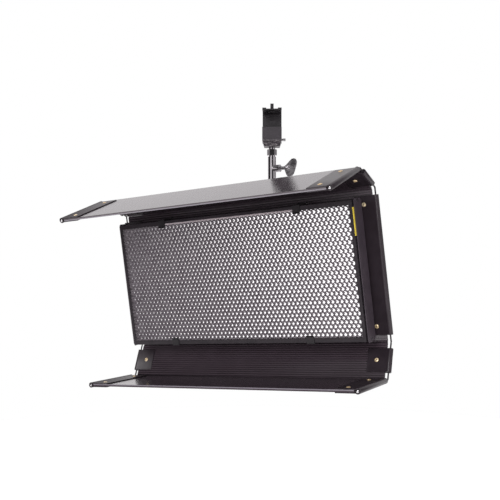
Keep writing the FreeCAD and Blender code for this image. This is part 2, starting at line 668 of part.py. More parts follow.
# --------------------------------------------------------- mount on the back
PLATE_Y = BACK_PLANE + SHEET_THICK / 2
CUP_FLOOR = PLATE_Y + PLATE_THICK
CUP_RIM = CUP_FLOOR + CUP_DEPTH
FLANGE_END = CUP_FLOOR + RUN + FLANGE_THICK
TWIST_Y = (FLANGE_END + CUP_RIM) / 2


def mount_plate():
    """Round plate with a cup that holds the arm's flange."""
    edge, thick, rim = PLATE_EDGE, PLATE_THICK, PLATE_THICK + CUP_DEPTH
    plate = turned([(0, 0), (PLATE_R - edge, 0), (PLATE_R, edge), (PLATE_R, thick - edge),
                    (PLATE_R - edge, thick), (CUP_R + CUP_FILLET, thick), (CUP_R, thick + CUP_FILLET),
                    (CUP_R, rim), (FLANGE_R + RUN, rim), (FLANGE_R + RUN, thick), (0, thick)],
                   V(0, PLATE_Y, 0), Y_AXIS)
    for x, z in plate_screws():
        plate = drilled(plate, PLATE_SCREW_R + SEAT, V(x, PLATE_Y, z), Y_AXIS, PLATE_THICK)
    return drilled(plate, TWIST_SCREW_R + RUN, V(0, TWIST_Y, FLANGE_R), Z_AXIS, CUP_R - FLANGE_R)


def mount_screw(x, z):
    """Hexagon screw through the plate and the back panel into a boss."""
    seat = PLATE_Y + PLATE_THICK
    tip = BODY_BACK - BODY_WALL
    shank = rod(PLATE_SCREW_R, V(x, tip, z), Y_AXIS, seat - tip)
    return shank.fuse(hexagon(PLATE_SCREW_AF, V(x, seat, z), Y_AXIS, PLATE_SCREW_HEAD))


def twist_lock_ring():
    """Ring screwed into the cup to trap the arm's flange."""
    inside = ARM_R + RUN
    start = FLANGE_END + RUN
    seat = CUP_RIM - start
    face = seat + RING_LIP
    ring = turned([(inside, 0), (FLANGE_R, 0), (FLANGE_R, seat), (CUP_R, seat), (CUP_R, face - EDGE),
                   (CUP_R - EDGE, face), (inside, face)], V(0, start, 0), Y_AXIS)
    return drilled(ring, TWIST_SCREW_R + RUN, V(0, TWIST_Y, ARM_R), Z_AXIS, FLANGE_R - ARM_R)


def twist_lock_knob():
    """Screw with a knurled knob that presses on the arm."""
    foot = ARM_R + PART_GAP
    under = CUP_R + PART_GAP - foot
    over = under + TWIST_KNOB_H
    radius = TWIST_KNOB_R
    profile = [(0, 0), (TWIST_SCREW_R, 0), (TWIST_SCREW_R, under), (radius - EDGE, under),
               (radius, under + EDGE), (radius, over - EDGE), (radius - EDGE, over), (0, over)]
    return turned(profile, V(0, TWIST_Y, foot), Z_AXIS)


def swivel_arm():
    """Flanged shaft in the cup, ending in the fork of the tilt joint."""
    start = CUP_FLOOR + RUN
    neck = PIVOT_Y - FORK_R - FORK_ROOT
    half = TONGUE_THICK / 2 + FORK_EAR
    length = neck + FORK_ROOT / 2 - start
    shaft = turned([(0, 0), (FLANGE_R, 0), (FLANGE_R, FLANGE_THICK), (ARM_R, FLANGE_THICK),
                    (ARM_R, length), (0, length)], V(0, start, 0), Y_AXIS)
    body = block(-half, half, neck, PIVOT_Y, -FORK_R, FORK_R)
    end = rod(FORK_R, V(-half, PIVOT_Y, 0), X_AXIS, 2 * half)
    slot = TONGUE_THICK / 2 + RUN
    throat = PIVOT_Y - TONGUE_R - TONGUE_ROOM
    gap = block(-slot, slot, throat, PIVOT_Y + FORK_R + PAST, -FORK_R - PAST, FORK_R + PAST)
    arm = fused([shaft, body, end]).cut(gap)
    return drilled(arm, TILT_BOLT_R + RUN, V(-half, PIVOT_Y, 0), X_AXIS, 2 * half)


def mount():
    save("mount_plate", [mount_plate()], HEAD)
    save("mount_screws", [mount_screw(x, z) for x, z in plate_screws()], HEAD)
    save("twist_lock_ring", [twist_lock_ring()], HEAD)
    save("twist_lock_knob", [twist_lock_knob()], HEAD)
    save("swivel_arm", [swivel_arm()], ARM)


# ------------------------------------------------------------ stem and wings
def wing(x0, turned_by):
    """Flared wing handle on a screw along X, starting at x0."""
    span, width, hub = WING_SPAN, WING_WIDTH, WING_HUB_R
    half = WING_THICK / 2
    lobe = [(x0, hub), (x0 + 0.30 * width, 0.80 * span), (x0 + 0.42 * width, 0.95 * span),
            (x0 + 0.62 * width, span), (x0 + 0.84 * width, 0.92 * span), (x0 + 0.97 * width, 0.66 * span),
            (x0 + width, 0.36 * span)]
    outline = [V(x, -half, z) for x, z in lobe] + [V(x, -half, -z) for x, z in reversed(lobe)]
    blade = Part.Face(Part.makePolygon(outline + outline[:1])).extrude(Y_AXIS * WING_THICK)
    boss = turned([(0, 0), (hub, 0), (hub * 1.12, 0.2 * WING_BOSS), (hub, 0.6 * WING_BOSS),
                   (hub * 0.6, 0.93 * WING_BOSS), (0, WING_BOSS)], V(x0, 0, 0), X_AXIS)
    return moved(fused([blade, boss]), turn(X_AXIS, turned_by))


SOCKET_FLOOR = TONGUE_R + SOCKET_LAND - PIVOT_DROP
SOCKET_RIM = NECK_RISE - PIVOT_DROP
STEM_PIN_Z = SOCKET_RIM - STEM_PIN_DOWN
FORK_SIDE = TONGUE_THICK / 2 + FORK_EAR + PART_GAP


def stem_tube():
    """Receiver tube for the spigot, held in the tilt knuckle at its lower end."""
    tube = rod(STEM_R, V(0, 0, SOCKET_FLOOR), Z_AXIS, STEM_TOP - SOCKET_FLOOR)
    boss = rod(LOCK_BOSS_R, V(0, 0, LOCK_Z), X_AXIS, LOCK_BOSS_OUT)
    tube = tube.fuse(boss)
    tube = drilled(tube, SPIGOT_R + RUN, V(0, 0, SPIGOT_END - EDGE), Z_AXIS, STEM_TOP - SPIGOT_END + EDGE)
    tube = drilled(tube, LOCK_SCREW_R + RUN, V(0, 0, LOCK_Z), X_AXIS, LOCK_BOSS_OUT)
    return drilled(tube, STEM_PIN_R, V(0, -STEM_R, STEM_PIN_Z), Y_AXIS, 2 * STEM_R)


def tilt_knuckle():
    """Tongue of the tilt joint with the socket that holds the stem."""
    half = TONGUE_THICK / 2
    pivot = V(0, 0, -PIVOT_DROP)
    disc = rod(TONGUE_R, pivot - X_AXIS * half, X_AXIS, TONGUE_THICK)
    web = block(-half, half, -half, half, -PIVOT_DROP, SOCKET_FLOOR)
    base = SOCKET_FLOOR - SOCKET_LAND / 2
    height = SOCKET_RIM - base
    neck = turned([(0, 0), (NECK_R - NECK_EDGE, 0), (NECK_R, NECK_EDGE), (NECK_R, height - NECK_EDGE),
                   (NECK_R - NECK_EDGE, height), (0, height)], V(0, 0, base), Z_AXIS)
    knuckle = fused([disc, web, neck])
    knuckle = knuckle.cut(rod(STEM_R + RUN, V(0, 0, SOCKET_FLOOR), Z_AXIS, NECK_RISE))
    knuckle = drilled(knuckle, TILT_BOLT_R + RUN, pivot - X_AXIS * half, X_AXIS, TONGUE_THICK)
    return drilled(knuckle, STEM_PIN_R, V(0, -NECK_R, STEM_PIN_Z), Y_AXIS, 2 * NECK_R)


def tilt_bolt():
    """Hexagon bolt through the fork and tongue, its head on the left."""
    pivot = V(0, PIVOT_Y, 0)
    shank = rod(TILT_BOLT_R, pivot - X_AXIS * FORK_SIDE, X_AXIS, 2 * FORK_SIDE + 2 * TILT_BOLT_R)
    return shank.fuse(hexagon(TILT_HEAD_AF, pivot - X_AXIS * (FORK_SIDE + TILT_HEAD), X_AXIS, TILT_HEAD))


def tilt_handle():
    """Wing nut that clamps the fork on the tongue."""
    radius, height = 1.8 * TILT_BOLT_R, TILT_COLLAR
    collar = turned([(0, 0), (radius, 0), (radius, 0.3 * height), (0.8 * radius, height), (0, height)],
                    V(FORK_SIDE, 0, 0), X_AXIS)
    handle = fused([wing(FORK_SIDE + height - EDGE, 0), collar])
    thread = rod(TILT_BOLT_R + RUN, V(0, 0, 0), X_AXIS, FORK_SIDE + 2 * TILT_BOLT_R + PART_GAP)
    return moved(handle.cut(thread), shift(0, PIVOT_Y, 0))


def receiver_lock_screw():
    """Wing screw that locks the receiver on the spigot."""
    tip = SPIGOT_R + PART_GAP
    screw = rod(LOCK_SCREW_R, V(tip, 0, 0), X_AXIS, WING_HUB_X + EDGE - tip)
    return moved(fused([screw, wing(WING_HUB_X, WING_TURN)]), shift(0, 0, LOCK_Z))


def stem():
    save("stem_tube", [stem_tube()], STEM)
    save("tilt_knuckle", [tilt_knuckle()], STEM)
    save("stem_pin", [rod(STEM_PIN_R, V(0, -NECK_R, STEM_PIN_Z), Y_AXIS, 2 * NECK_R)], STEM)
    save("receiver_lock_screw", [receiver_lock_screw()], STEM)
    save("tilt_bolt", [tilt_bolt()], ARM)
    save("tilt_handle", [tilt_handle()], ARM)


# --------------------------------------------------------------- pipe clamp
def rectangle(half_x, y0, y1, z):
    corners = [(-half_x, y0), (half_x, y0), (half_x, y1), (-half_x, y1)]
    return Part.makePolygon([V(x, y, z) for x, y in corners + corners[:1]])


def clamp_body():
    """Block with the round pipe seat, the foot below it and the jaw's lugs behind."""
    half = CLAMP_WIDTH / 2
    main = prism_x([(-BLOCK_FRONT, BLOCK_BASE), (BLOCK_BACK, BLOCK_BASE), (BLOCK_BACK, BLOCK_RIM),
                    (-BLOCK_FRONT + BLOCK_BEVEL, BLOCK_RIM), (-BLOCK_FRONT, BLOCK_RIM - BLOCK_BEVEL)],
                   -half, half)
    shoulder = rectangle(half - FOOT_SHOULDER, -BLOCK_FRONT + FOOT_SHOULDER_Y,
                         BLOCK_BACK - FOOT_SHOULDER_Y, BLOCK_BASE)
    sole = rectangle(half - FOOT_TAPER, -BLOCK_FRONT + FOOT_TAPER_Y, BLOCK_BACK - FOOT_TAPER_Y, FOOT_BASE)
    foot = Part.makeLoft([shoulder, sole], True)
    lugs = []
    for side in (-1, 1):
        width = half - JAW_KNUCKLE_WIDTH / 2 - PART_GAP
        x0 = half - width if side > 0 else -half
        lugs.append(rod(JAW_KNUCKLE_R, V(x0, JAW_PIVOT_Y, PIVOT_Z), X_AXIS, width))
        lugs.append(block(x0, x0 + width, BLOCK_BACK - EDGE, JAW_PIVOT_Y, PIVOT_Z - LUG_DROP,
                          PIVOT_Z + JAW_KNUCKLE_R))
    body = fused([main, foot] + lugs)
    body = drilled(body, SEAT_R, V(-half, 0, 0), X_AXIS, CLAMP_WIDTH)
    relief_half = JAW_KNUCKLE_WIDTH / 2 + PART_GAP
    relief = rod(JAW_KNUCKLE_R + PART_GAP, V(-relief_half, JAW_PIVOT_Y, PIVOT_Z), X_AXIS, 2 * relief_half)
    body = body.cut(relief)
    body = drilled(body, JAW_PIN_R + RUN, V(-half, JAW_PIVOT_Y, PIVOT_Z), X_AXIS, CLAMP_WIDTH)
    body = body.cut(rod(STUD_R, V(0, STUD_ROOT, STUD_Z), Y_AXIS, BLOCK_BACK))
    return body.cut(rod(SPIGOT_R, V(0, 0, FOOT_BASE - PAST), Z_AXIS, SPIGOT_ROOT + PAST))


def clamp_jaw():
    """Hook that comes up behind the pipe and over it, ribbed along both sides."""
    half = CLAMP_WIDTH / 2
    knuckle_half = JAW_KNUCKLE_WIDTH / 2
    bend = V(0, JAW_IN_Y - JAW_BEND_R, JAW_TOP - JAW_BEND_R)
    plate = jaw_band(-half, half, 0, bend, JAW_FOOT)
    ribs = [jaw_band(x0, x0 + JAW_RIB_WIDTH, JAW_RIB, bend, JAW_RIB_FOOT)
            for x0 in (-half, half - JAW_RIB_WIDTH)]
    root = block(-knuckle_half, knuckle_half, JAW_IN_Y, JAW_IN_Y + JAW_THICK, PIVOT_Z, JAW_RIB_FOOT)
    knuckle = rod(JAW_KNUCKLE_R, V(-knuckle_half, JAW_PIVOT_Y, PIVOT_Z), X_AXIS, JAW_KNUCKLE_WIDTH)
    jaw = fused([plate, root, knuckle] + ribs)
    slot_low, slot_half = STUD_Z - STUD_ROOM, STUD_R + STUD_ROOM
    slot_high = slot_low + STUD_SWING
    start, depth = JAW_IN_Y - PAST, 2 * JAW_THICK
    slot = block(-slot_half, slot_half, start, start + depth, slot_low, slot_high)
    for z in (slot_low, slot_high):
        slot = slot.fuse(rod(slot_half, V(0, start, z), Y_AXIS, depth))
    jaw = jaw.cut(slot)
    jaw = drilled(jaw, JAW_PIN_R + RUN, V(-half, JAW_PIVOT_Y, PIVOT_Z), X_AXIS, CLAMP_WIDTH)
    return drilled(jaw, PRESS_R + RUN, V(0, 0, JAW_TOP), Z_AXIS, JAW_THICK)


def jaw_band(x0, x1, rise, bend, low):
    """The hook's bent strip between x0 and x1, thicker by rise on its outside."""
    thick = JAW_THICK + rise
    outer = JAW_BEND_R + thick
    spine = block(x0, x1, bend.y + JAW_BEND_R, bend.y + outer, low, bend.z)
    bar = block(x0, x1, JAW_TIP, bend.y, bend.z + JAW_BEND_R, bend.z + outer)
    ring = rod(outer, V(x0, bend.y, bend.z), X_AXIS, x1 - x0)
    ring = drilled(ring, JAW_BEND_R, V(x0, bend.y, bend.z), X_AXIS, x1 - x0)
    quarter = block(x0 - PAST, x1 + PAST, bend.y, bend.y + outer + PAST, bend.z, bend.z + outer + PAST)
    return fused([spine, ring.common(quarter), bar])


def jaw_pin():
    """Pivot pin with its round knurled head on the right."""
    half = CLAMP_WIDTH / 2
    neck = 2 * half + JAW_PIN_PROUD
    end = neck + JAW_PIN_HEAD
    edge = JAW_PIN_HEAD_R - JAW_PIN_R
    profile = [(0, 0), (JAW_PIN_R, 0), (JAW_PIN_R, neck), (JAW_PIN_HEAD_R, neck),
               (JAW_PIN_HEAD_R, end - edge), (JAW_PIN_R, end), (0, end)]
    return turned(profile, V(-half, JAW_PIVOT_Y, PIVOT_Z), X_AXIS)


def jaw_wing_nut():
    """Wing nut on the stud behind the hook."""
    y0 = JAW_IN_Y + JAW_THICK + PART_GAP
    nut = turned([(0, 0), (NUT_R, 0), (NUT_R, 0.2 * NUT_LENGTH), (0.78 * NUT_R, 0.36 * NUT_LENGTH),
                  (0.67 * NUT_R, NUT_LENGTH), (0, NUT_LENGTH)], V(0, y0, STUD_Z), Y_AXIS)
    span, rise = NUT_WING, NUT_WING_RISE
    lobe = [(0.25 * span, 0.3 * rise), (0.81 * span, 0.48 * rise), (span, 0.79 * rise),
            (0.88 * span, rise), (0.62 * span, rise), (0.25 * span, 0.73 * rise)]
    base = STUD_Z - NUT_WING_THICK / 2
    wings = []
    for side in (-1, 1):
        outline = [V(side * x, y0 + y, base) for x, y in lobe + lobe[:1]]
        wings.append(Part.Face(Part.makePolygon(outline)).extrude(Z_AXIS * NUT_WING_THICK))
    return drilled(fused([nut] + wings), STUD_R + RUN, V(0, y0, STUD_Z), Y_AXIS, NUT_WING_RISE)


def jaw_stud():
    return rod(STUD_R, V(0, STUD_ROOT, STUD_Z), Y_AXIS, STUD_END - STUD_ROOT)


def pressure_screw():
    """Square-headed screw through the hook, its pad on the pipe."""
    low = PIPE_R + PART_GAP
    radius, thick, half = PRESS_PAD_R, PRESS_PAD, PRESS_HEAD_HALF
    pad = turned([(0, 0), (radius, 0), (radius, 0.75 * thick), (radius - 0.25 * thick, thick), (0, thick)],
                 V(0, 0, low), Z_AXIS)
    under_head = PRESS_TOP - PRESS_HEAD
    shank = rod(PRESS_R, V(0, 0, low), Z_AXIS, under_head + EDGE - low)
    head = block(-half, half, -half, half, under_head, PRESS_TOP)
    return fused([pad, shank, head])


def spigot():
    """Fixed pin below the clamp with its hexagon collar and locking groove."""
    length = FOOT_BASE + SPIGOT_ROOT - SPIGOT_END
    groove = LOCK_Z - SPIGOT_END
    low, high = groove - LOCK_SCREW_R, groove + LOCK_SCREW_R
    waist = SPIGOT_R - GROOVE_DEPTH
    pin = turned([(0, 0), (SPIGOT_R - SPIGOT_EDGE, 0), (SPIGOT_R, SPIGOT_EDGE),
                  (SPIGOT_R, low - GROOVE_DEPTH), (waist, low), (waist, high),
                  (SPIGOT_R, high + GROOVE_DEPTH), (SPIGOT_R, length), (0, length)],
                 V(0, 0, SPIGOT_END), Z_AXIS)
    return pin.fuse(hexagon(COLLAR_AF, V(0, 0, COLLAR_BASE), Z_AXIS, COLLAR_TOP - COLLAR_BASE))


def pipe_clamp():
    save("clamp_body", [clamp_body()], CLAMP)
    save("clamp_jaw", [clamp_jaw()], CLAMP)
    save("jaw_pin", [jaw_pin()], CLAMP)
    save("jaw_stud", [jaw_stud()], CLAMP)
    save("jaw_wing_nut", [jaw_wing_nut()], CLAMP)
    save("pressure_screw", [pressure_screw()], CLAMP)
    save("spigot", [spigot()], CLAMP)


os.makedirs("parts", exist_ok=True)
shell()
panel_light()
mount()
stem()
pipe_clamp()
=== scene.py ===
import json
import logging
import math
from collections.abc import Iterable, Sequence
from dataclasses import dataclass
from enum import Enum

import bmesh
import bpy
from bmesh.types import BMEdge, BMesh, BMFace, BMVert
from mathutils import Matrix, Vector


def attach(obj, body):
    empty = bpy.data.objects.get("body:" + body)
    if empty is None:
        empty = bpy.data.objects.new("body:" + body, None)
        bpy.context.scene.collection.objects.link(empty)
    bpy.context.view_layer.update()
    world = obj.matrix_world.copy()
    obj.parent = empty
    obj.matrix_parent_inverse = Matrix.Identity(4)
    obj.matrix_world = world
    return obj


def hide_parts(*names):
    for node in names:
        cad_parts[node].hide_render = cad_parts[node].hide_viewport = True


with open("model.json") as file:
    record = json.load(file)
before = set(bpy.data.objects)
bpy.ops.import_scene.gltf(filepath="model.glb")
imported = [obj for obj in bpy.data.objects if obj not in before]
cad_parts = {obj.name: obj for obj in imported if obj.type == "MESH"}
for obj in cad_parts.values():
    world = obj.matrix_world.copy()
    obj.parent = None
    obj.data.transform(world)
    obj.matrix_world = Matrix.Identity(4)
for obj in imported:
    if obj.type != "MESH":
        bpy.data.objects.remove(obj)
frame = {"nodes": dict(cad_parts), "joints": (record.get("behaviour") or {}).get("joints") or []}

log = logging.getLogger("barn_door_light")
MM = 0.001
# Vertices within WELD are one, a point within NEAR of a line lies on it, and a cut keeps to CUT.
WELD = 0.001 * MM
NEAR = 0.01 * MM
CUT = 0.0001 * MM
# Degrees: faces that meet below FLAT are one flat face, and edges above CORNER are rounded.
FLAT = 0.5
CORNER = 30.0
# Vertex attribute of the fluted sheets: 1 over a web, 0 midway between two webs, -1 on the free edge where a
# highlight is painted; it places the painted shade and highlight.
WEB = "web"
Colour = tuple[float, float, float]
Socket = bpy.types.NodeSocket
Geometry = list[BMVert | BMEdge | BMFace]


# ------------------------------------------------------------------ finishes
class Grain(Enum):
    """Fine texture of a finish, by the strength of its relief."""

    EVEN = 0.7
    CAST = 0.8
    POLISHED = 0.35


@dataclass(frozen=True)
class Pattern:
    """A noise: how much fine detail it holds, and the band of its values that counts."""

    detail: float
    roughness: float
    low: float
    high: float


MOTTLE = Pattern(detail=4.0, roughness=0.5, low=0.35, high=0.65)
FINE = Pattern(detail=3.0, roughness=0.6, low=0.3, high=0.7)
MARKS = Pattern(detail=8.0, roughness=0.72, low=0.44, high=0.72)
# The scuffs fade out this far above and below the height where they end.
FADE = 2.5 * MM


class NodeGraph:
    """A tree of nodes with short ways to add and link them."""

    def __init__(self, tree: bpy.types.NodeTree) -> None:
        """Takes over a node tree."""
        self.nodes = tree.nodes
        self.links = tree.links

    def add(self, kind: str, values: dict[str, object] | None = None, **settings: object) -> bpy.types.Node:
        """Adds a node.

        Args:
            kind: The node's Blender type.
            values: Socket defaults by socket name.
            settings: Properties of the node itself.

        Returns:
            The new node.
        """
        node = self.nodes.new(kind)
        for key, value in settings.items():
            setattr(node, key, value)
        for key, value in (values or {}).items():
            node.inputs[key].default_value = value
        return node

    def join(self, start: Socket, end: Socket) -> None:
        """Links two sockets."""
        self.links.new(start, end)

    def maths(self, operation: str, *sources: Socket | float) -> Socket:
        """Works a value out from others.

        Args:
            operation: Blender's name of the operation.
            sources: Sockets or plain numbers, in the operation's order.

        Returns:
            The result.
        """
        node = self.add("ShaderNodeMath", operation=operation)
        for source, socket in zip(sources, node.inputs):
            if isinstance(source, Socket):
                self.join(source, socket)
            else:
                socket.default_value = source
        return node.outputs[0]

    def spread(self, source: Socket, low: float, high: float, to_low: float = 0.0, to_high: float = 1.0) -> Socket:
        """Maps a range of a value smoothly on to another range.

        Args:
            source: The value.
            low: Start of its range.
            high: End of its range.
            to_low: What the start becomes.
            to_high: What the end becomes.

        Returns:
            The mapped value.
        """
        node = self.add("ShaderNodeMapRange", {"From Min": low, "From Max": high, "To Min": to_low,
                                               "To Max": to_high}, interpolation_type="SMOOTHSTEP")
        self.join(source, node.inputs["Value"])
        return node.outputs["Result"]

    def blend(self, factor: Socket, first: Colour | Socket, second: Colour) -> Socket:
        """Mixes two colours.

        Args:
            factor: How much there is of the second colour.
            first: A plain colour, or one that is already mixed.
            second: A plain colour.

        Returns:
            The mixed colour.
        """
        node = self.add("ShaderNodeMix", data_type="RGBA")
        start, end = [socket for socket in node.inputs if socket.type == "RGBA"]
        if isinstance(first, Socket):
            self.join(first, start)
        else:
            start.default_value = (*first, 1.0)
        end.default_value = (*second, 1.0)
        self.join(factor, node.inputs[0])
        return [socket for socket in node.outputs if socket.type == "RGBA"][0]

    def mixed(self, factor: Socket, first: Socket, second: Socket) -> Socket:
        """Mixes two shaders.

        Args:
            factor: How much there is of the second shader.
            first: The first shader.
            second: The second shader.

        Returns:
            The mixed shader.
        """
        node = self.add("ShaderNodeMixShader")
        for source, socket in zip((factor, first, second), node.inputs):
            self.join(source, socket)
        return node.outputs[0]


class ShaderTree(NodeGraph):
    """Node tree of one material, built on Object coordinates."""

    def __init__(self, name: str) -> None:
        """Starts an empty material.

        Args:
            name: The material's name.
        """
        self.material = bpy.data.materials.new(name)
        self.material.use_nodes = True
        super().__init__(self.material.node_tree)
        self.surface = self.nodes["Principled BSDF"]

    def coordinates(self, size: float) -> Socket:
        """Object coordinates for a pattern of one size.

        Args:
            size: Length over which the pattern changes.

        Returns:
            The scaled vector.
        """
        source = self.add("ShaderNodeTexCoord")
        mapping = self.add("ShaderNodeMapping", {"Scale": [1 / size] * 3})
        self.join(source.outputs["Object"], mapping.inputs["Vector"])
        return mapping.outputs["Vector"]

    def noise(self, vector: Socket, pattern: Pattern) -> Socket:
        """Noise over the given coordinates.

        Args:
            vector: The coordinates.
            pattern: Kind of noise.

        Returns:
            A value from 0 to 1.
        """
        node = self.add("ShaderNodeTexNoise", {"Scale": 1.0, "Detail": pattern.detail,
                                               "Roughness": pattern.roughness})
        self.join(vector, node.inputs["Vector"])
        return node.outputs["Fac"]

    def below(self, source: Socket, height: float) -> Socket:
        """Keeps a value only under a height of the object, fading over a few millimetres.

        Args:
            source: The value.
            height: The height, in Object coordinates.

        Returns:
            The value below, and zero above.
        """
        place = self.add("ShaderNodeTexCoord")
        split = self.add("ShaderNodeSeparateXYZ")
        self.join(place.outputs["Object"], split.inputs[0])
        kept = self.spread(split.outputs["Z"], height - FADE, height + FADE, 1.0, 0.0)
        return self.maths("MULTIPLY", kept, source)

    def shaded(self, colour: Socket, shade: Socket) -> Socket:
        """Darkens a colour.

        Args:
            colour: The colour.
            shade: What it is multiplied by.

        Returns:
            The darkened colour.
        """
        node = self.add("ShaderNodeVectorMath", operation="SCALE")
        self.join(colour, node.inputs[0])
        self.join(shade, node.inputs["Scale"])
        return node.outputs[0]

    def bump(self, height: Socket, depth: float, strength: float, under: Socket | None = None) -> Socket:
        """Turns a height into a surface normal.

        Args:
            height: The height, from 0 to 1.
            depth: What a height of 1 stands for.
            strength: Strength of the relief.
            under: Normal of another relief that this one lies on.

        Returns:
            The surface normal.
        """
        node = self.add("ShaderNodeBump", {"Distance": depth, "Strength": strength})
        self.join(height, node.inputs["Height"])
        if under is not None:
            self.join(under, node.inputs["Normal"])
        return node.outputs["Normal"]


@dataclass(frozen=True)
class Finish:
    """How a piece's surface looks: two near colours, gloss, grain and wear.

    Under 1, the web darkening paints shade over a fluted sheet's webs, the edge colour paints a highlight on its
    marked free edge, and a scuff_colour shows below scuff_below.
    """

    name: str
    colour: Colour
    tone: Colour
    roughness: float = 0.4
    spread: float = 0.08
    metallic: float = 0.0
    ior: float = 1.5
    grain: Grain = Grain.EVEN
    grain_size: float = 0.8 * MM
    grain_depth: float = 0.02 * MM
    cell_relief: float = 0.6
    mottle_size: float = 22 * MM
    glow: float = 0.0
    glow_colour: Colour = (1.0, 0.99, 1.0)
    scuff_colour: Colour | None = None
    scuff_size: float = 6 * MM
    scuff_below: float = 0.0
    # Painted shade over a fluted sheet's webs, and a painted highlight on its marked free edge.
    web_shade: float = 1.0
    web_shade_band: tuple[float, float] = (0.3, 1.0)
    edge_highlight_colour: Colour = (0.23, 0.21, 0.24)
    edge_highlight_band: tuple[float, float] = (-0.95, -0.75)

    def material(self) -> bpy.types.Material:
        """The finish's material, made at its first use."""
        made = bpy.data.materials.get(self.name)
        return made if made else self.build()

    def build(self) -> bpy.types.Material:
        """Builds the node tree.

        Returns:
            The new material.
        """
        tree = ShaderTree(self.name)
        surface = tree.surface.inputs
        surface["Metallic"].default_value = self.metallic
        surface["IOR"].default_value = self.ior
        tree.join(self.coloured(tree), surface["Base Color"])
        fine = tree.coordinates(self.grain_size)
        grain = tree.noise(fine, FINE)
        gloss = tree.spread(grain, FINE.low, FINE.high, self.roughness - self.spread, self.roughness + self.spread)
        tree.join(gloss, surface["Roughness"])
        tree.join(self.relief(tree, fine, grain), surface["Normal"])
        if self.glow:
            surface["Emission Color"].default_value = (*self.glow_colour, 1.0)
            surface["Emission Strength"].default_value = self.glow
        return tree.material

    def coloured(self, tree: ShaderTree) -> Socket:
        """Mottles the colour, scuffs it, and paints shade over the flutes' webs and a highlight on the marked free
        edge.

        Args:
            tree: The material's node tree.

        Returns:
            The colour.
        """
        mottle = tree.noise(tree.coordinates(self.mottle_size), MOTTLE)
        colour = tree.blend(tree.spread(mottle, MOTTLE.low, MOTTLE.high), self.colour, self.tone)
        if self.scuff_colour:
            marks = tree.noise(tree.coordinates(self.scuff_size), MARKS)
            worn = tree.below(tree.spread(marks, MARKS.low, MARKS.high), self.scuff_below)
            colour = tree.blend(worn, colour, self.scuff_colour)
        if self.web_shade < 1.0:
            webs = tree.add("ShaderNodeAttribute", attribute_name=WEB).outputs["Fac"]
            # Painted shade: darker over the webs.
            colour = tree.shaded(colour, tree.spread(webs, *self.web_shade_band, 1.0, self.web_shade))
            # Painted highlight: pale along the marked free edge.
            colour = tree.blend(tree.spread(webs, *self.edge_highlight_band, 1.0, 0.0), colour, self.edge_highlight_colour)
        return colour

    def relief(self, tree: ShaderTree, fine: Socket, grain: Socket) -> Socket:
        """Raises the grain, on a casting over rounded cells.

        Args:
            tree: The material's node tree.
            fine: Coordinates at the grain's size.
            grain: The grain's noise.

        Returns:
            The surface normal.
        """
        under = None
        if self.grain is Grain.CAST:
            cells = tree.add("ShaderNodeTexVoronoi", {"Scale": 1.0, "Randomness": 1.0})
            tree.join(fine, cells.inputs["Vector"])
            under = tree.bump(cells.outputs["Distance"], self.grain_depth, self.cell_relief)
        return tree.bump(grain, self.grain_depth, self.grain.value, under)


# The sheet is darkened over its webs as painted shade of the ribs, and pale on the doors' free edges as a painted
# highlight.
SHEET = Finish("black_fluted_sheet", (0.060, 0.044, 0.055), (0.067, 0.050, 0.062), 0.14, 0.01, ior=1.75,
               grain_size=2.4 * MM, grain_depth=0.0005 * MM, mottle_size=60 * MM, web_shade=0.28)
SLEEVE = Finish("dark_moulded_sleeve", (0.027, 0.020, 0.025), (0.032, 0.024, 0.030), 0.38, 0.03,
                grain_size=0.9 * MM, grain_depth=0.004 * MM)
BRASS = Finish("brass", (0.96, 0.80, 0.54), (0.88, 0.66, 0.38), 0.34, 0.08, metallic=0.55,
               grain=Grain.POLISHED, grain_size=0.5 * MM)
WIRE = Finish("dark_drawn_wire", (0.035, 0.030, 0.034), (0.05, 0.043, 0.048), 0.34, 0.08, metallic=0.3,
              grain_size=0.4 * MM)
WIRE_HEAD = Finish("bright_wire_head", (0.80, 0.78, 0.80), (0.66, 0.64, 0.66), 0.22, 0.08, metallic=1.0,
                   grain=Grain.POLISHED, grain_size=0.6 * MM)
LOUVRE_BLACK = Finish("satin_black_frame", (0.016, 0.012, 0.016), (0.024, 0.018, 0.023), 0.36, 0.08,
                      grain_size=0.6 * MM)
FOIL = Finish("grey_foil", (0.19, 0.164, 0.185), (0.225, 0.20, 0.22), 0.45, 0.06,
              grain_size=1.2 * MM, grain_depth=0.01 * MM)
OPAL = Finish("opal_white", (0.90, 0.89, 0.90), (0.95, 0.94, 0.95), 0.5, 0.05, glow=1.05)
# The yellow strip glows a little, though it is no lamp: painted light.
YELLOW = Finish("yellow_strip", (0.90, 0.71, 0.085), (0.95, 0.76, 0.10), 0.42, 0.06,
                glow=0.25, glow_colour=(0.95, 0.70, 0.07))
BODY_BLACK = Finish("black_body_paint", (0.018, 0.0145, 0.018), (0.026, 0.021, 0.026), 0.42, 0.08,
                    grain_size=0.7 * MM)
# A pale strip that stands for light on the frame's inner top edge: a painted highlight.
FRAME_EDGE_HIGHLIGHT = Finish("painted_frame_edge_highlight", (0.42, 0.36, 0.385), (0.48, 0.42, 0.445), 0.40, 0.05)
END_GREY = Finish("purple_grey_paint", (0.050, 0.038, 0.049), (0.064, 0.049, 0.062), 0.42, 0.07,
                  grain_size=0.7 * MM)
SCREW_DARK = Finish("blackened_steel", (0.030, 0.025, 0.030), (0.06, 0.052, 0.06), 0.26, 0.08, metallic=0.5,
                    grain_size=0.5 * MM)
ZINC = Finish("zinc_steel", (0.62, 0.61, 0.62), (0.50, 0.50, 0.51), 0.32, 0.1, metallic=0.7,
              grain_size=0.5 * MM)
CLIP_BLACK = Finish("black_spring_clip", (0.010, 0.008, 0.010), (0.018, 0.015, 0.018), 0.36, 0.08,
                    grain_size=0.6 * MM)
BOARD = Finish("white_board", (0.78, 0.78, 0.76), (0.70, 0.70, 0.68), 0.4, 0.08)
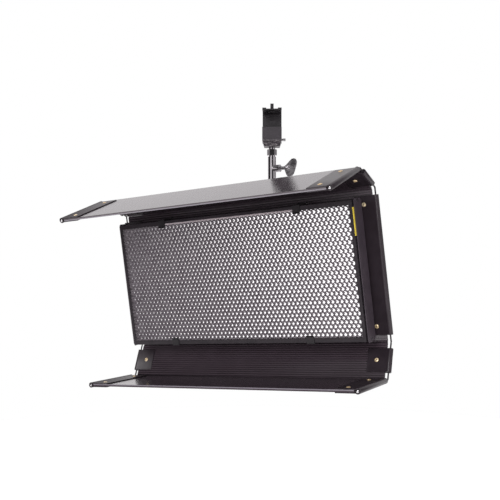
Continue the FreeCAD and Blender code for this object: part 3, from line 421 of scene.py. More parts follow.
PLATE = Finish("black_powder_coat", (0.018, 0.016, 0.018), (0.028, 0.025, 0.028), 0.52, 0.08,
               grain_size=0.5 * MM, grain_depth=0.05 * MM)
CHROME = Finish("chrome", (0.56, 0.54, 0.56), (0.48, 0.46, 0.48), 0.09, 0.04, metallic=1.0,
                grain=Grain.POLISHED, grain_size=3 * MM, grain_depth=0.005 * MM)
CAST_SILVER = Finish("worn_cast_silver", (0.42, 0.40, 0.42), (0.15, 0.14, 0.15), 0.32, 0.12, metallic=0.85,
                     grain=Grain.CAST, grain_size=1.6 * MM, grain_depth=0.12 * MM, mottle_size=9 * MM)
CLAMP_GREY = Finish("satin_grey_paint", (0.033, 0.028, 0.033), (0.039, 0.033, 0.040), 0.42, 0.08,
                    grain_size=0.8 * MM, grain_depth=0.03 * MM, scuff_colour=(0.34, 0.31, 0.32),
                    scuff_below=-45.5 * MM)
JAW_BLACK = Finish("satin_black_steel", (0.012, 0.010, 0.012), (0.020, 0.017, 0.020), 0.40, 0.08,
                   grain_size=0.8 * MM, grain_depth=0.03 * MM)


# ----------------------------------------------------------- frames and tools
@dataclass(frozen=True)
class Place:
    """A local frame within the part's own: x along the light, y through the thickness, z across the width."""

    matrix: Matrix

    def extent(self, node: str) -> tuple[Vector, Vector]:
        """Measures a CAD node in this frame.

        Args:
            node: The node's name.

        Returns:
            Its lowest and highest corner.
        """
        inverse = self.matrix.inverted()
        points = [inverse @ vertex.co for vertex in frame["nodes"][node].data.vertices]
        low = Vector([min(p[i] for p in points) for i in range(3)])
        high = Vector([max(p[i] for p in points) for i in range(3)])
        return low, high

    @staticmethod
    def of(origin: Vector, x: Vector, z: Vector) -> "Place":
        """Makes a frame from two of its axes.

        Args:
            origin: Its origin.
            x: Its x axis.
            z: Its z axis, square to x.

        Returns:
            The frame.
        """
        x, z = x.normalized(), z.normalized()
        y = z.cross(x)
        turn = Matrix((x, y, z)).transposed().to_4x4()
        return Place(Matrix.Translation(origin) @ turn)


def joint(name: str) -> dict:
    """The record's joint of that name."""
    return next(j for j in frame["joints"] if j["name"] == name)


def head_place() -> Place:
    """Works out the frame of the light's head from its joints.

    Returns:
        The frame, with its origin in the middle of the louvre's face.
    """
    x = -Vector(joint("top_hinge_fold")["axis"])
    y = Vector(joint("twist")["axis"])
    z = x.cross(y)
    square = Place.of(Vector((0, 0, 0)), x, z)
    low, high = square.extent("louvre_frame")
    middle = (low + high) / 2
    return Place.of(square.matrix @ Vector((middle.x, low.y, middle.z)), x, z)


def across(vector: Vector, x: Vector) -> Vector:
    """The part of a vector square to an axis."""
    return vector - x * vector.dot(x)


def smooth(mesh: bpy.types.Mesh, degrees: float) -> None:
    """Shades a mesh smooth, with edges sharper than the angle kept sharp."""
    mesh.shade_smooth()
    mesh.set_sharp_from_angle(angle=math.radians(degrees))


def finished(name: str, shape: BMesh, place: Matrix, body: str, finish: Finish,
             stands_for: Iterable[str] = (), sharp: float = 35.0,
             second: Finish | None = None) -> bpy.types.Object:
    """Turns a bmesh into a piece at its place.

    Args:
        name: The piece's name.
        shape: Its mesh, in the local frame; it is freed here.
        place: From the local frame to the part's own.
        body: The CAD body that it rides on.
        finish: Its finish.
        stands_for: CAD nodes that it replaces.
        sharp: Edges sharper than this many degrees stay sharp.
        second: Finish of the faces whose material index is one.

    Returns:
        The new object.
    """
    mesh = bpy.data.meshes.new(name)
    shape.to_mesh(mesh)
    shape.free()
    mesh.transform(place)
    mesh.materials.append(finish.material())
    if second:
        mesh.materials.append(second.material())
    smooth(mesh, sharp)
    piece = bpy.data.objects.new(name, mesh)
    bpy.context.scene.collection.objects.link(piece)
    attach(piece, body)
    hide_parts(*stands_for)
    log.info("%s: %d faces on %s", name, len(mesh.polygons), body)
    return piece


def vertices_in(geometry: Geometry) -> list[BMVert]:
    """The vertices among mixed geometry."""
    return [v for v in geometry if isinstance(v, BMVert)]


def whole(shape: BMesh) -> Geometry:
    """All vertices, edges and faces of a bmesh."""
    return shape.verts[:] + shape.edges[:] + shape.faces[:]


def outwards(shape: BMesh) -> None:
    """Merges doubled vertices and turns every face outwards."""
    bmesh.ops.remove_doubles(shape, verts=shape.verts[:], dist=WELD)
    bmesh.ops.recalc_face_normals(shape, faces=shape.faces[:])


def joined(shape: BMesh, part: BMesh) -> None:
    """Adds one bmesh to another.

    Args:
        shape: The bmesh that grows.
        part: What it takes in; it is freed here.
    """
    carrier = bpy.data.meshes.new("carrier")
    part.to_mesh(carrier)
    part.free()
    shape.from_mesh(carrier)
    bpy.data.meshes.remove(carrier)


def framed(shape: BMesh, width: float) -> None:
    """Turns every face into a frame round a hole.

    Args:
        shape: The flat bmesh.
        width: Width of each frame.
    """
    cells = shape.faces[:]
    bmesh.ops.inset_individual(shape, faces=cells, thickness=width, use_even_offset=True)
    bmesh.ops.delete(shape, geom=cells, context="FACES_ONLY")


def drawn_out(shape: BMesh, faces: list[BMFace], way: Sequence[float]) -> None:
    """Extrudes flat faces into a body."""
    grown = bmesh.ops.extrude_face_region(shape, geom=faces)["geom"]
    bmesh.ops.translate(shape, verts=vertices_in(grown), vec=way)


def cut_beyond(shape: BMesh, at: Vector, way: Vector) -> None:
    """Cuts away what lies beyond a plane."""
    bmesh.ops.bisect_plane(shape, geom=whole(shape), dist=CUT, plane_co=at, plane_no=way, clear_outer=True)


def corner_edges(shape: BMesh, degrees: float) -> list[BMEdge]:
    """Edges whose two faces meet at more than that angle."""
    limit = math.radians(degrees)
    return [e for e in shape.edges if len(e.link_faces) == 2 and e.calc_face_angle(0.0) > limit]


def open_edges(shape: BMesh, at: float) -> list[BMEdge]:
    """Edges at that z which bound one face only."""
    return [e for e in shape.edges if len(e.link_faces) == 1 and all(abs(v.co.z - at) < NEAR for v in e.verts)]


def bevelled(shape: BMesh, edges: list[BMEdge], width: float, clamped: bool) -> None:
    """Rounds the given edges, held back where two roundings would meet if clamped."""
    bmesh.ops.bevel(shape, geom=edges, offset=width, offset_type="OFFSET", affect="EDGES", segments=2,
                    profile=0.5, material=-1, clamp_overlap=clamped)


def paint(node: str, finish: Finish) -> None:
    """Gives a CAD node its finish.

    Args:
        node: The CAD node, which stays as it is.
        finish: Its finish.
    """
    thing = frame["nodes"][node]
    if not thing.material_slots:
        thing.data.materials.append(finish.material())
    for material_slot in thing.material_slots:
        material_slot.material = finish.material()
    log.info("%s: as it is, in %s", node, finish.name)


def eased(node: str, body: str, finish: Finish, width: float) -> bpy.types.Object:
    """Shows a CAD node with its sharp edges rounded.

    Args:
        node: The CAD node.
        body: Its body.
        finish: Its finish.
        width: Width of the rounding.

    Returns:
        The new object.
    """
    shape = bmesh.new()
    shape.from_mesh(frame["nodes"][node].data)
    bmesh.ops.remove_doubles(shape, verts=shape.verts[:], dist=2 * WELD)
    bmesh.ops.dissolve_limit(shape, angle_limit=math.radians(FLAT), verts=shape.verts[:], edges=shape.edges[:])
    bevelled(shape, corner_edges(shape, CORNER), width, clamped=False)
    piece = finished(node + "_eased", shape, Matrix.Identity(4), body, finish, [node], sharp=40)
    weighted = piece.modifiers.new("flat_faces", "WEIGHTED_NORMAL")
    weighted.keep_sharp = True
    return piece


# ------------------------------------------------------------ the folding shell
class Rim(Enum):
    """How a leaf of fluted sheet ends: distance from the crease or edge and half thickness, in mm."""

    BEAD = ((-1.2, 0.0), (-0.85, 0.85), (0.0, 1.2), (0.85, 0.85), (1.3, 0.5), (1.6, 0.5), (3.6, 2.5))
    LIP = ((1.35, 0.5), (1.6, 0.5), (3.6, 2.5))
    FREE = ((0.0, 2.5),)

    @property
    def flutes(self) -> float:
        """How far from the crease or edge the whole flutes start."""
        return self.value[-1][0] * MM

    @property
    def width(self) -> float:
        """Width of the crushed strip beside the flutes."""
        return (self.value[-1][0] - self.value[0][0]) * MM


@dataclass
class ShellLeaf:
    """One leaf of the shell: fluted sheet, a sleeve and a wire at each end, and tubular rivets."""

    name: str
    body: str
    place: Place
    low: Rim
    high: Rim
    flute_pitch: float = 5.1 * MM
    skin: float = 0.45 * MM
    sag: float = 0.10 * MM
    skin_cuts: int = 3
    # From how far through the free edge's half thickness the painted highlight starts.
    highlight_from: float = 0.1
    sleeve_skin: float = 2.0 * MM
    sleeve_edge: float = 0.25 * MM
    lap: float = 39.5 * MM
    loop_radius: float = 6.0 * MM
    loop_steps: int = 20
    core_inset: float = 2.5 * MM
    wire_room: float = 0.15 * MM
    rivet_radius: float = 4.6 * MM
    rivet_height: float = 1.4 * MM
    rivet_bore: float = 1.3 * MM
    round_steps: int = 24

    def build(self) -> None:
        """Builds the sheet, sleeves and rivets, and dresses the wires."""
        self.sheet()
        self.sleeves()
        self.rivets()
        self.wires()

    def sheet(self) -> bpy.types.Object:
        """Builds the fluted sheet, drawn out from its cross-section.

        Returns:
            The sheet's object.
        """
        node = self.name + "_panel"
        low, high = self.place.extent(node)
        thick = high.y - low.y
        first, last = self.low.flutes, high.z - self.high.width
        span = last - first
        count = round(span / self.flute_pitch)
        shape = bmesh.new()
        lay = Matrix(((0, 0, 1, low.x), (thick, 0, 0, 0), (0, span, 0, (first + last) / 2), (0, 0, 0, 1)))
        bmesh.ops.create_grid(shape, x_segments=1, y_segments=count, size=0.5, matrix=lay)
        framed(shape, self.skin)
        self.scallop(shape, thick / 2, first, span / count)
        self.finish_rim(shape, first, -1, self.low)
        self.finish_rim(shape, last, 1, self.high)
        # The free edge gets a painted highlight.
        if self.high is Rim.FREE:
            self.mark_edge_highlight(shape, thick / 2, last)
        cut_beyond(shape, high, Vector((0, 0, 1)))
        drawn_out(shape, shape.faces[:], (high.x - low.x, 0, 0))
        outwards(shape)
        return finished(self.name + "_sheet", shape, self.place.matrix, self.body, SHEET, [node],
                        sharp=50)

    def scallop(self, shape: BMesh, half: float, first: float, pitch: float) -> None:
        """Sinks both skins a little between the webs of the flutes, and marks how near each web is.

        Args:
            shape: The sheet's section.
            half: Half the sheet's thickness.
            first: Where the first web stands.
            pitch: From one web to the next.
        """
        skins = [e for e in shape.edges if all(abs(v.co.y) > half - NEAR for v in e.verts)]
        bmesh.ops.subdivide_edges(shape, edges=skins, cuts=self.skin_cuts)
        # The nearness to a web places the painted shade over the webs.
        nearness = shape.verts.layers.float.new(WEB)
        for vertex in shape.verts:
            if abs(vertex.co.y) > half - NEAR:
                sunk = math.sin(math.pi * (vertex.co.z - first) / pitch) ** 2
                vertex.co.y -= math.copysign(self.sag * sunk, vertex.co.y)
                vertex[nearness] = 1 - sunk

    def mark_edge_highlight(self, shape: BMesh, half: float, at: float) -> None:
        """Marks the half of the free edge that faces the light's head, where a pale highlight is painted.

        Args:
            shape: The sheet's section.
            half: Half the sheet's thickness.
            at: Where the free edge is.
        """
        bmesh.ops.subdivide_edges(shape, edges=open_edges(shape, at), cuts=self.skin_cuts)
        nearness = shape.verts.layers.float[WEB]
        inner = math.copysign(1.0, (self.place.matrix.inverted() @ head_place().matrix.translation).y)
        for vertex in shape.verts:
            if abs(vertex.co.z - at) < NEAR and vertex.co.y * inner > self.highlight_from * half:
                vertex[nearness] = -1.0

    def finish_rim(self, shape: BMesh, at: float, way: int, rim: Rim) -> None:
        """Draws one long edge of the section down to its crushed lip or bead.

        Args:
            shape: The sheet's section.
            at: Where the whole flutes end.
            way: 1 for the high edge and -1 for the low one.
            rim: How the edge ends.
        """
        steps = list(reversed(rim.value))
        ends = open_edges(shape, at)
        for (before, _), (after, thick) in zip(steps, steps[1:]):
            grown = bmesh.ops.extrude_edge_only(shape, edges=ends)["geom"]
            ends = [e for e in grown if isinstance(e, BMEdge)]
            for vertex in vertices_in(grown):
                vertex.co.z += way * (before - after) * MM
                vertex.co.y = math.copysign(thick * MM, vertex.co.y)

    def sleeves(self) -> bpy.types.Object:
        """Builds both sleeves: a skin lapped round the sheet's end and looped round the wire.

        Returns:
            The sleeves' object.
        """
        node = self.name + "_sleeves"
        low, high = self.place.extent(node)
        shape = bmesh.new()
        for side in (-1, 1):
            part = bmesh.new()
            wire_x = high.x - self.loop_radius
            self.core(part, wire_x, low.z + self.core_inset, high.z - self.core_inset)
            self.skin_strip(part, wire_x, low.z, high.z)
            if side < 0:
                bmesh.ops.rotate(part, verts=part.verts[:], matrix=Matrix.Rotation(math.pi, 3, "Z"))
            joined(shape, part)
        return finished(node + "_moulded", shape, self.place.matrix, self.body, SLEEVE, [node])

    def skin_strip(self, shape: BMesh, wire_x: float, low: float, high: float) -> None:
        """Adds a sleeve's skin.

        Args:
            shape: The bmesh that it joins.
            wire_x: Where the wire runs.
            low: Lower end of the sleeve.
            high: Upper end of the sleeve.
        """
        strip = bmesh.new()
        self.skin_line(strip, wire_x, low)
        raised = bmesh.ops.extrude_edge_only(strip, edges=strip.edges[:])["geom"]
        bmesh.ops.translate(strip, verts=vertices_in(raised), vec=(0, 0, high - low))
        bmesh.ops.recalc_face_normals(strip, faces=strip.faces[:])
        middle = max(strip.faces, key=lambda f: f.calc_center_median().x)
        if middle.normal.x < 0:
            bmesh.ops.reverse_faces(strip, faces=strip.faces[:])
        bmesh.ops.solidify(strip, geom=strip.faces[:], thickness=self.sleeve_skin)
        bmesh.ops.recalc_face_normals(strip, faces=strip.faces[:])
        bevelled(strip, corner_edges(strip, 2 * CORNER), self.sleeve_edge, clamped=True)
        joined(shape, strip)

    def skin_line(self, strip: BMesh, wire_x: float, low: float) -> None:
        """Draws the outside of a sleeve, from one lap round the loop to the other lap.

        Args:
            strip: The bmesh that it starts.
            wire_x: Where the wire runs.
            low: Lower end of the sleeve.
        """
        low_corner, high_corner = self.place.extent(self.name + "_panel")
        lap_x = high_corner.x - self.lap
        lap_y = (high_corner.y - low_corner.y) / 2 + self.sleeve_skin
        angle = math.pi - math.asin(lap_y / self.loop_radius)
        start = strip.verts.new((wire_x + self.loop_radius * math.cos(angle), lap_y, low))
        arc = bmesh.ops.spin(strip, geom=[start], cent=(wire_x, 0, low), axis=(0, 0, 1), dvec=(0, 0, 0),
                             angle=-2 * angle, steps=self.loop_steps, use_merge=False, use_duplicate=False)
        for vertex in [start] + vertices_in(arc["geom_last"]):
            bmesh.ops.extrude_vert_indiv(strip, verts=[vertex])["verts"][0].co.x = lap_x

    def core(self, shape: BMesh, wire_x: float, low: float, high: float) -> None:
        """Adds the ring between the loop and the wire.

        Args:
            shape: The bmesh that it joins.
            wire_x: Where the wire runs.
            low: Lower end of the ring.
            high: Upper end of the ring.
        """
        wire = self.place.extent(self.name + "_wires")
        bore = (wire[1].y - wire[0].y) / 2 + self.wire_room
        outer = self.loop_radius - self.sleeve_skin
        disc = bmesh.ops.create_circle(shape, cap_ends=True, segments=self.round_steps, radius=outer,
                                       matrix=Matrix.Translation((wire_x, 0, low)))
        face = disc["verts"][0].link_faces[0]
        rim = bmesh.ops.inset_individual(shape, faces=[face], thickness=outer - bore)["faces"]
        bmesh.ops.delete(shape, geom=[face], context="FACES_ONLY")
        drawn_out(shape, rim, (0, 0, high - low))
        bmesh.ops.recalc_face_normals(shape, faces=shape.faces[:])

    def rivets(self) -> bpy.types.Object:
        """Builds the tubular brass rivets, with rolled heads on both sides.

        Returns:
            The rivets' object.
        """
        node = self.name + "_rivets"
        low, high = self.place.extent(node)
        radius, bore = self.rivet_radius, self.rivet_bore
        top = high.y
        seat = top - self.rivet_height
        rolled = [(bore, 0.0), (bore, seat), (bore + 0.2 * MM, top - 0.25 * MM), (bore + 0.6 * MM, top),
                  (bore + 1.2 * MM, top - 0.05 * MM), (radius - 1.0 * MM, top - 0.45 * MM),
                  (radius - 0.25 * MM, seat + 0.5 * MM), (radius, seat + 0.15 * MM), (radius, seat),
                  (bore + 1.1 * MM, seat), (bore + 1.1 * MM, 0.0)]
        shape = bmesh.new()
        for x in (low.x + radius, high.x - radius):
            for z in sorted({round(low.z + radius, 5), round(high.z - radius, 5)}):
                self.rivet(shape, rolled, x, z)
        return finished(node + "_rolled", shape, self.place.matrix, self.body, BRASS, [node],
                        sharp=60)

    def rivet(self, shape: BMesh, outline: list[tuple[float, float]], x: float, z: float) -> None:
        """Adds one rivet: half of it spun from its outline, then mirrored.

        Args:
            shape: The bmesh that it joins.
            outline: Radius and height of each point of the half.
            x: Its place along the light.
            z: Its place across the leaf.
        """
        part = bmesh.new()
        row = [part.verts.new((r, y, 0)) for r, y in outline]
        edges = [part.edges.new(pair) for pair in zip(row, row[1:])]
        bmesh.ops.spin(part, geom=row + edges, cent=(0, 0, 0), axis=(0, 1, 0), dvec=(0, 0, 0),
                       angle=2 * math.pi, steps=self.round_steps, use_merge=True, use_duplicate=False)
        bmesh.ops.mirror(part, geom=whole(part), matrix=Matrix.Identity(4), merge_dist=WELD, axis="Y")
        outwards(part)
        bmesh.ops.translate(part, verts=part.verts[:], vec=(x, 0, z))
        joined(shape, part)

    def wires(self) -> bpy.types.Object:
        """Dresses the bendable wires, dark where they are drawn and bright at their heads.

        Returns:
            The wires' object.
        """
        node = self.name + "_wires"
        shape = bmesh.new()
        shape.from_mesh(frame["nodes"][node].data)
        outwards(shape)
        bmesh.ops.transform(shape, matrix=self.place.matrix.inverted(), verts=shape.verts[:])
        edge = self.place.extent(self.name + "_sleeves")[1].z
        for face in shape.faces:
            face.material_index = int(face.calc_center_median().z > edge)
        return finished(node + "_drawn", shape, self.place.matrix, self.body, WIRE, [node],
                        sharp=40, second=WIRE_HEAD)


@dataclass
class Shell:
    """The five leaves that fold round the light."""

    head: Place

    def build(self) -> None:
        """Builds the back panel and both pairs of hinge panel and door."""
        low, high = self.head.extent("back_panel")
        x, z = self.head.matrix.to_3x3().col[0], self.head.matrix.to_3x3().col[2]
        origin = self.head.matrix @ Vector((0, (low.y + high.y) / 2, low.z))
        ShellLeaf("back", "head", Place.of(origin, x, z), Rim.BEAD, Rim.BEAD).build()
        for side, name in ((1, "top"), (-1, "bottom")):
            self.pair(name, side * x)

    def pair(self, name: str, x: Vector) -> None:
        """Builds the hinge panel and door of one side.

        Args:
            name: The side, top or bottom.
            x: The way its creases run.
        """
        first = Vector(joint(name + "_hinge_fold")["pos_m"])
        second = Vector(joint(name + "_door_fold")["pos_m"])
        hinge = Place.of(first, x, across(second - first, x))
        ShellLeaf(name + "_hinge", name + "_hinge", hinge, Rim.LIP, Rim.BEAD).build()
        points = [across(v.co - second, x) for v in frame["nodes"][name + "_door_panel"].data.vertices]
        reach = max(p.length for p in points)
        edge = [p for p in points if p.length > reach - 2 * NEAR]
        door = Place.of(second, x, sum(edge, Vector((0, 0, 0))))
        ShellLeaf(name + "_door", name + "_door", door, Rim.LIP, Rim.FREE).build()


# ---------------------------------------------------------------- panel light
@dataclass
class Honeycomb:
    """Louvre core of thin foil: hexagonal cells whose upright walls are kinked one way, like fish scales."""

    head: Place
    pitch: float = 10.27 * MM
    row_rise: float = 8.60 * MM
    upright: float = 6.2 * MM
    kink: float = 2.7 * MM
    wall: float = 0.85 * MM

    def build(self) -> bpy.types.Object:
        """Lays out the cells, trims them to the frame and draws them out to depth.

        Returns:
            The core's object.
        """
        low, high = self.head.extent("honeycomb_core")
        shape = bmesh.new()
        rows = 2 * (math.ceil((high.z - low.z) / self.row_rise / 4) + 1)
        columns = math.ceil((high.x - low.x) / self.pitch / 2) + 1
        self.cell(shape, Vector((-columns * self.pitch, low.y, -rows * self.row_rise)))
        self.repeat(shape, 2 * columns, Vector((self.pitch, 0, 0)))
        self.repeat(shape, 1, Vector((self.pitch / 2, 0, self.row_rise)))
        self.repeat(shape, rows, Vector((0, 0, 2 * self.row_rise)))
        bmesh.ops.remove_doubles(shape, verts=shape.verts[:], dist=2 * NEAR)
        framed(shape, self.wall / 2)
        for corner, way in ((low, -1), (high, 1)):
            cut_beyond(shape, corner, Vector((way, 0, 0)))
            cut_beyond(shape, corner, Vector((0, 0, way)))
        drawn_out(shape, shape.faces[:], (0, high.y - low.y, 0))
        outwards(shape)
        return finished("honeycomb_foil", shape, self.head.matrix, "head", FOIL,
                        ["honeycomb_core"])

    def cell(self, shape: BMesh, centre: Vector) -> None:
        """Adds one flat cell: a circle of six corners, stretched, with its upright sides kinked.

        Args:
            shape: The bmesh that it joins.
            centre: Its middle, on the core's face.
        """
        lay = Matrix(((1, 0, 0, 0), (0, 0, -1, 0), (0, 1, 0, 0), (0, 0, 0, 1)))
        ring = bmesh.ops.create_circle(shape, cap_ends=True, segments=6, radius=1.0, matrix=lay)["verts"]
        uprights = [e for e in shape.edges if abs(e.verts[0].co.x - e.verts[1].co.x) < 0.1]
        for corner in ring:
            high = self.upright if abs(corner.co.z) < 0.9 else self.row_rise - self.upright / 2
            corner.co = centre + Vector((corner.co.x * self.pitch / math.sqrt(3), 0, corner.co.z * high))
        for side in uprights:
            cut = bmesh.ops.subdivide_edges(shape, edges=[side], cuts=1)["geom_inner"]
            bmesh.ops.translate(shape, verts=vertices_in(cut), vec=(self.kink, 0, 0))

    def repeat(self, shape: BMesh, times: int, step: Vector) -> None:
        """Adds copies of all that is there, each a step further."""
        bmesh.ops.spin(shape, geom=whole(shape), cent=(0, 0, 0), axis=(0, 0, 1), dvec=step, angle=0.0,
                       steps=times, use_duplicate=True)


@dataclass
class PanelLight:
    """The light in the shell: louvre, body, end plates and clips."""

    head: Place
    bar: float = 10.0 * MM
    # Height and thickness of the strip of painted highlight on the frame's top edge.
    highlight_height: float = 3.4 * MM
    highlight_thick: float = 0.3 * MM
    edge: float = 0.35 * MM
    frame_edge: float = 0.6 * MM
    inlet_edge: float = 0.3 * MM
    bracket_edge: float = 0.2 * MM
    screw_edge: float = 0.15 * MM

    def build(self) -> None:
        """Builds the honeycomb and the strip of painted highlight on the frame's top edge, and dresses the rest.
        """
        Honeycomb(self.head).build()
        self.top_edge_highlight()
        eased("louvre_frame", "head", LOUVRE_BLACK, self.frame_edge)
        eased("housing_tray", "head", BODY_BLACK, self.edge)
        for side in ("left", "right"):
            eased("end_plate_" + side, "head", END_GREY, self.edge)
        paint("diffuser_sheet", OPAL)
        paint("led_boards", BOARD)
        paint("louvre_side_tab", YELLOW)
        eased("end_plate_screws", "head", SCREW_DARK, self.screw_edge)
        eased("power_inlet", "head", BODY_BLACK, self.inlet_edge)
        for corner in ("top_left", "top_right", "bottom_left", "bottom_right"):
            eased("louvre_clip_" + corner, "clip_" + corner, CLIP_BLACK, self.edge)
        eased("clip_brackets", "head", CLIP_BLACK, self.bracket_edge)
        paint("clip_pins", ZINC)

    def top_edge_highlight(self) -> bpy.types.Object:
        """Builds a pale strip on the inner edge of the frame's top bar, between the clips: a painted highlight.

        Returns:
            The trim's object.
        """
        low, high = self.head.extent("louvre_frame")
        left = self.head.extent("louvre_clip_top_left")[1].x
        right = self.head.extent("louvre_clip_top_right")[0].x
        middle = Vector(((left + right) / 2, low.y - self.highlight_thick / 2, high.z - self.bar + self.highlight_height / 2))
        size = Vector((right - left, self.highlight_thick, self.highlight_height))
        shape = bmesh.new()
        bmesh.ops.create_cube(shape, size=1.0, matrix=Matrix.LocRotScale(middle, None, size))
        return finished("louvre_top_edge_highlight", shape, self.head.matrix, "head", FRAME_EDGE_HIGHLIGHT)


# ------------------------------------------------------- the mount and the clamp
@dataclass
class Mount:
    """The swivel on the back of the light and the tilt joint."""

    edge: float = 0.4 * MM
    cast_edge: float = 0.8 * MM

    def build(self) -> None:
        """Dresses the mount's pieces."""
        eased("mount_plate", "head", PLATE, self.edge)
        eased("mount_screws", "head", ZINC, self.edge)
        eased("twist_lock_ring", "head", PLATE, self.edge)
        eased("twist_lock_knob", "twist_knob", CLIP_BLACK, self.edge)
        eased("swivel_arm", "arm", CHROME, self.edge)
        eased("tilt_bolt", "arm", ZINC, self.edge)
        eased("tilt_handle", "tilt_wing", CAST_SILVER, self.cast_edge)


@dataclass
class Hanger:
    """The stem with its receiver, the pipe clamp and the spigot."""

    edge: float = 0.4 * MM
    cast_edge: float = 0.8 * MM
    body_edge: float = 0.5 * MM
    nut_edge: float = 0.6 * MM
    pin_edge: float = 0.2 * MM

    def build(self) -> None:
        """Dresses the hanger's pieces."""
        eased("stem_tube", "stem", CHROME, self.edge)
        eased("tilt_knuckle", "stem", CHROME, self.edge)
        paint("stem_pin", ZINC)
        eased("receiver_lock_screw", "stem_lock", CAST_SILVER, self.cast_edge)
        eased("clamp_body", "clamp", CLAMP_GREY, self.body_edge)
        eased("clamp_jaw", "jaw", JAW_BLACK, self.edge)
        eased("jaw_pin", "clamp", ZINC, self.pin_edge)
        paint("jaw_stud", ZINC)
        eased("jaw_wing_nut", "jaw_nut", CAST_SILVER, self.nut_edge)
        eased("pressure_screw", "jaw_screw", JAW_BLACK, self.edge)
        eased("spigot", "clamp", CHROME, self.edge)


# ------------------------------------------------------------------ the studio
@dataclass(frozen=True)
class Lamp:
    """A soft distant lamp: the way its light goes, its strength and its size in degrees."""

    name: str
    ahead: float
    right: float
    up: float
    strength: float
    size: float
    shines: bool = True


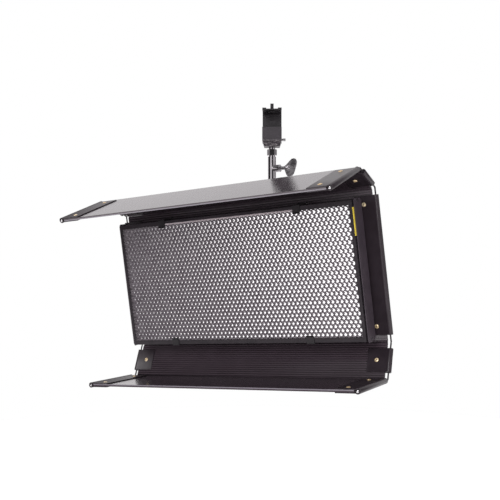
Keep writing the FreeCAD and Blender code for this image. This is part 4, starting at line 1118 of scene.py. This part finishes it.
@dataclass
class Studio:
    """White floor and backdrop, screens and soft lamps round the hung light.

    Each screen is its place round the light, from 0 to 1, and its tone.
    """

    eye: Vector = Vector((0.87790, -1.63075, -0.30865))
    right: Vector = Vector((0.86650, 0.49918, 0.0))
    ahead: Vector = Vector((-0.49918, 0.86650, 0.0))
    lens: float = 54.99
    sensor: float = 36.0
    sight: float = 50.0
    floor_drop: float = 1.0
    floor_size: float = 3.0
    floor_colour: Colour = (0.9, 0.9, 0.9)
    floor_roughness: float = 0.9
    floor_glow: float = 0.65
    air_colour: Colour = (1.0, 0.95, 0.975)
    air_down: float = 0.5
    air_band: tuple[float, float] = (-0.35, 0.75)
    dim: float = 0.33
    bright: float = 0.66
    screen_colour: Colour = (1.0, 0.97, 0.985)
    screens: tuple[tuple[float, float], ...] = (
        (0.0, 0.04), (0.03, 0.04), (0.05, 0.90), (0.128, 0.90), (0.15, 0.03), (0.33, 0.03), (0.36, 1.0),
        (0.64, 1.0), (0.68, 0.12), (0.775, 0.12), (0.795, 0.85), (0.885, 0.85), (0.905, 0.04), (1.0, 0.04))
    lamps: tuple[Lamp, ...] = (
        Lamp("key", 0.82, 0.42, -0.42, strength=0.95, size=22.0),
        Lamp("top", 0.2901, 0.3979, -1.0, strength=0.15, size=60.0),
        Lamp("front", 1.0, 0.0, 0.05, strength=1.8, size=40.0, shines=False))

    def build(self) -> None:
        """Sets up camera, world, lamps and floor."""
        self.camera()
        self.world()
        for lamp in self.lamps:
            self.light(lamp)
        self.floor()
        bpy.context.scene.view_settings.view_transform = "Standard"

    def camera(self) -> None:
        """Places the camera level, at the height of the light."""
        camera = bpy.data.objects.new("camera", bpy.data.cameras.new("camera"))
        bpy.context.scene.collection.objects.link(camera)
        camera.data.lens = self.lens
        camera.data.sensor_width = self.sensor
        camera.data.clip_end = self.sight
        axes = Matrix((self.right, Vector((0, 0, 1)), -self.ahead)).transposed().to_4x4()
        camera.matrix_world = Matrix.Translation(self.eye) @ axes
        bpy.context.scene.camera = camera

    def world(self) -> None:
        """Sets up a white backdrop, light that is stronger from ahead and below, and screens for what shines."""
        world = bpy.data.worlds.new("studio")
        bpy.context.scene.world = world
        world.use_nodes = True
        graph = NodeGraph(world.node_tree)
        graph.nodes.clear()
        output = graph.add("ShaderNodeOutputWorld")
        rays = graph.add("ShaderNodeLightPath").outputs
        way = self.ahead - Vector((0, 0, self.air_down))
        light = graph.add("ShaderNodeBackground", {"Color": (*self.air_colour, 1.0)})
        graph.join(graph.spread(self.toward(graph, way), *self.air_band, self.dim, self.bright),
                   light.inputs["Strength"])
        mirror = graph.add("ShaderNodeBackground")
        graph.join(self.screens_around(graph), mirror.inputs["Color"])
        seen = graph.add("ShaderNodeBackground", {"Color": (1.0, 1.0, 1.0, 1.0)})
        shining = graph.maths("MAXIMUM", rays["Is Glossy Ray"], rays["Is Transmission Ray"])
        unseen = graph.mixed(shining, light.outputs[0], mirror.outputs[0])
        graph.join(graph.mixed(rays["Is Camera Ray"], unseen, seen.outputs[0]), output.inputs["Surface"])

    def toward(self, graph: NodeGraph, way: Vector) -> Socket:
        """Measures how far a direction of the world points one way.

        Args:
            graph: The world's nodes.
            way: The way.

        Returns:
            A value from -1 to 1.
        """
        source = graph.add("ShaderNodeTexCoord")
        dot = graph.add("ShaderNodeVectorMath", operation="DOT_PRODUCT")
        dot.inputs[1].default_value = way.normalized()
        graph.join(source.outputs["Generated"], dot.inputs[0])
        return dot.outputs["Value"]

    def screens_around(self, graph: NodeGraph) -> Socket:
        """Stands tall light and dark screens all round, from behind the camera by its left.

        Args:
            graph: The world's nodes.

        Returns:
            The screens' colour.
        """
        angle = graph.maths("ARCTAN2", self.toward(graph, self.right), self.toward(graph, self.ahead))
        ramp = graph.add("ShaderNodeValToRGB")
        steps = ramp.color_ramp.elements
        steps.remove(steps[-1])
        for at, tone in self.screens:
            step = steps.new(at) if at else steps[0]
            step.color = (*(tone * part for part in self.screen_colour), 1.0)
        graph.join(graph.maths("MULTIPLY_ADD", angle, 0.5 / math.pi, 0.5), ramp.inputs["Fac"])
        return ramp.outputs["Color"]

    def light(self, lamp: Lamp) -> None:
        """Hangs one lamp.

        Args:
            lamp: What it is; one that doesn't shine isn't mirrored in what it lights.
        """
        data = bpy.data.lights.new(lamp.name, "SUN")
        data.energy = lamp.strength
        data.angle = math.radians(lamp.size)
        way = self.ahead * lamp.ahead + self.right * lamp.right + Vector((0, 0, lamp.up))
        sun = bpy.data.objects.new(lamp.name, data)
        sun.rotation_mode = "QUATERNION"
        sun.rotation_quaternion = way.to_track_quat("-Z", "Y")
        sun.visible_glossy = lamp.shines
        bpy.context.scene.collection.objects.link(sun)

    def floor(self) -> None:
        """Lays a white disc well below the light, which glows to the camera and in what shines."""
        shape = bmesh.new()
        bmesh.ops.create_circle(shape, cap_ends=True, segments=96, radius=self.floor_size)
        mesh = bpy.data.meshes.new("floor")
        shape.to_mesh(mesh)
        shape.free()
        floor = bpy.data.objects.new("floor", mesh)
        floor.location = (0, 0, self.eye.z - self.floor_drop)
        bpy.context.scene.collection.objects.link(floor)
        tree = ShaderTree("white_floor")
        surface = tree.surface.inputs
        surface["Base Color"].default_value = (*self.floor_colour, 1.0)
        surface["Roughness"].default_value = self.floor_roughness
        surface["Emission Color"].default_value = (1.0, 1.0, 1.0, 1.0)
        rays = tree.add("ShaderNodeLightPath").outputs
        seen = tree.maths("MAXIMUM", rays["Is Camera Ray"], rays["Is Glossy Ray"])
        seen = tree.maths("MAXIMUM", seen, rays["Is Transmission Ray"])
        tree.join(tree.maths("MULTIPLY", seen, self.floor_glow), surface["Emission Strength"])
        mesh.materials.append(tree.material)


def main() -> None:
    """Builds the studio and every sub-assembly."""
    logging.basicConfig(level=logging.INFO, format="%(name)s: %(message)s")
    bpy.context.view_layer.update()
    Studio().build()
    head = head_place()
    Shell(head).build()
    PanelLight(head).build()
    Mount().build()
    Hanger().build()


if __name__ == "__main__":
    main()
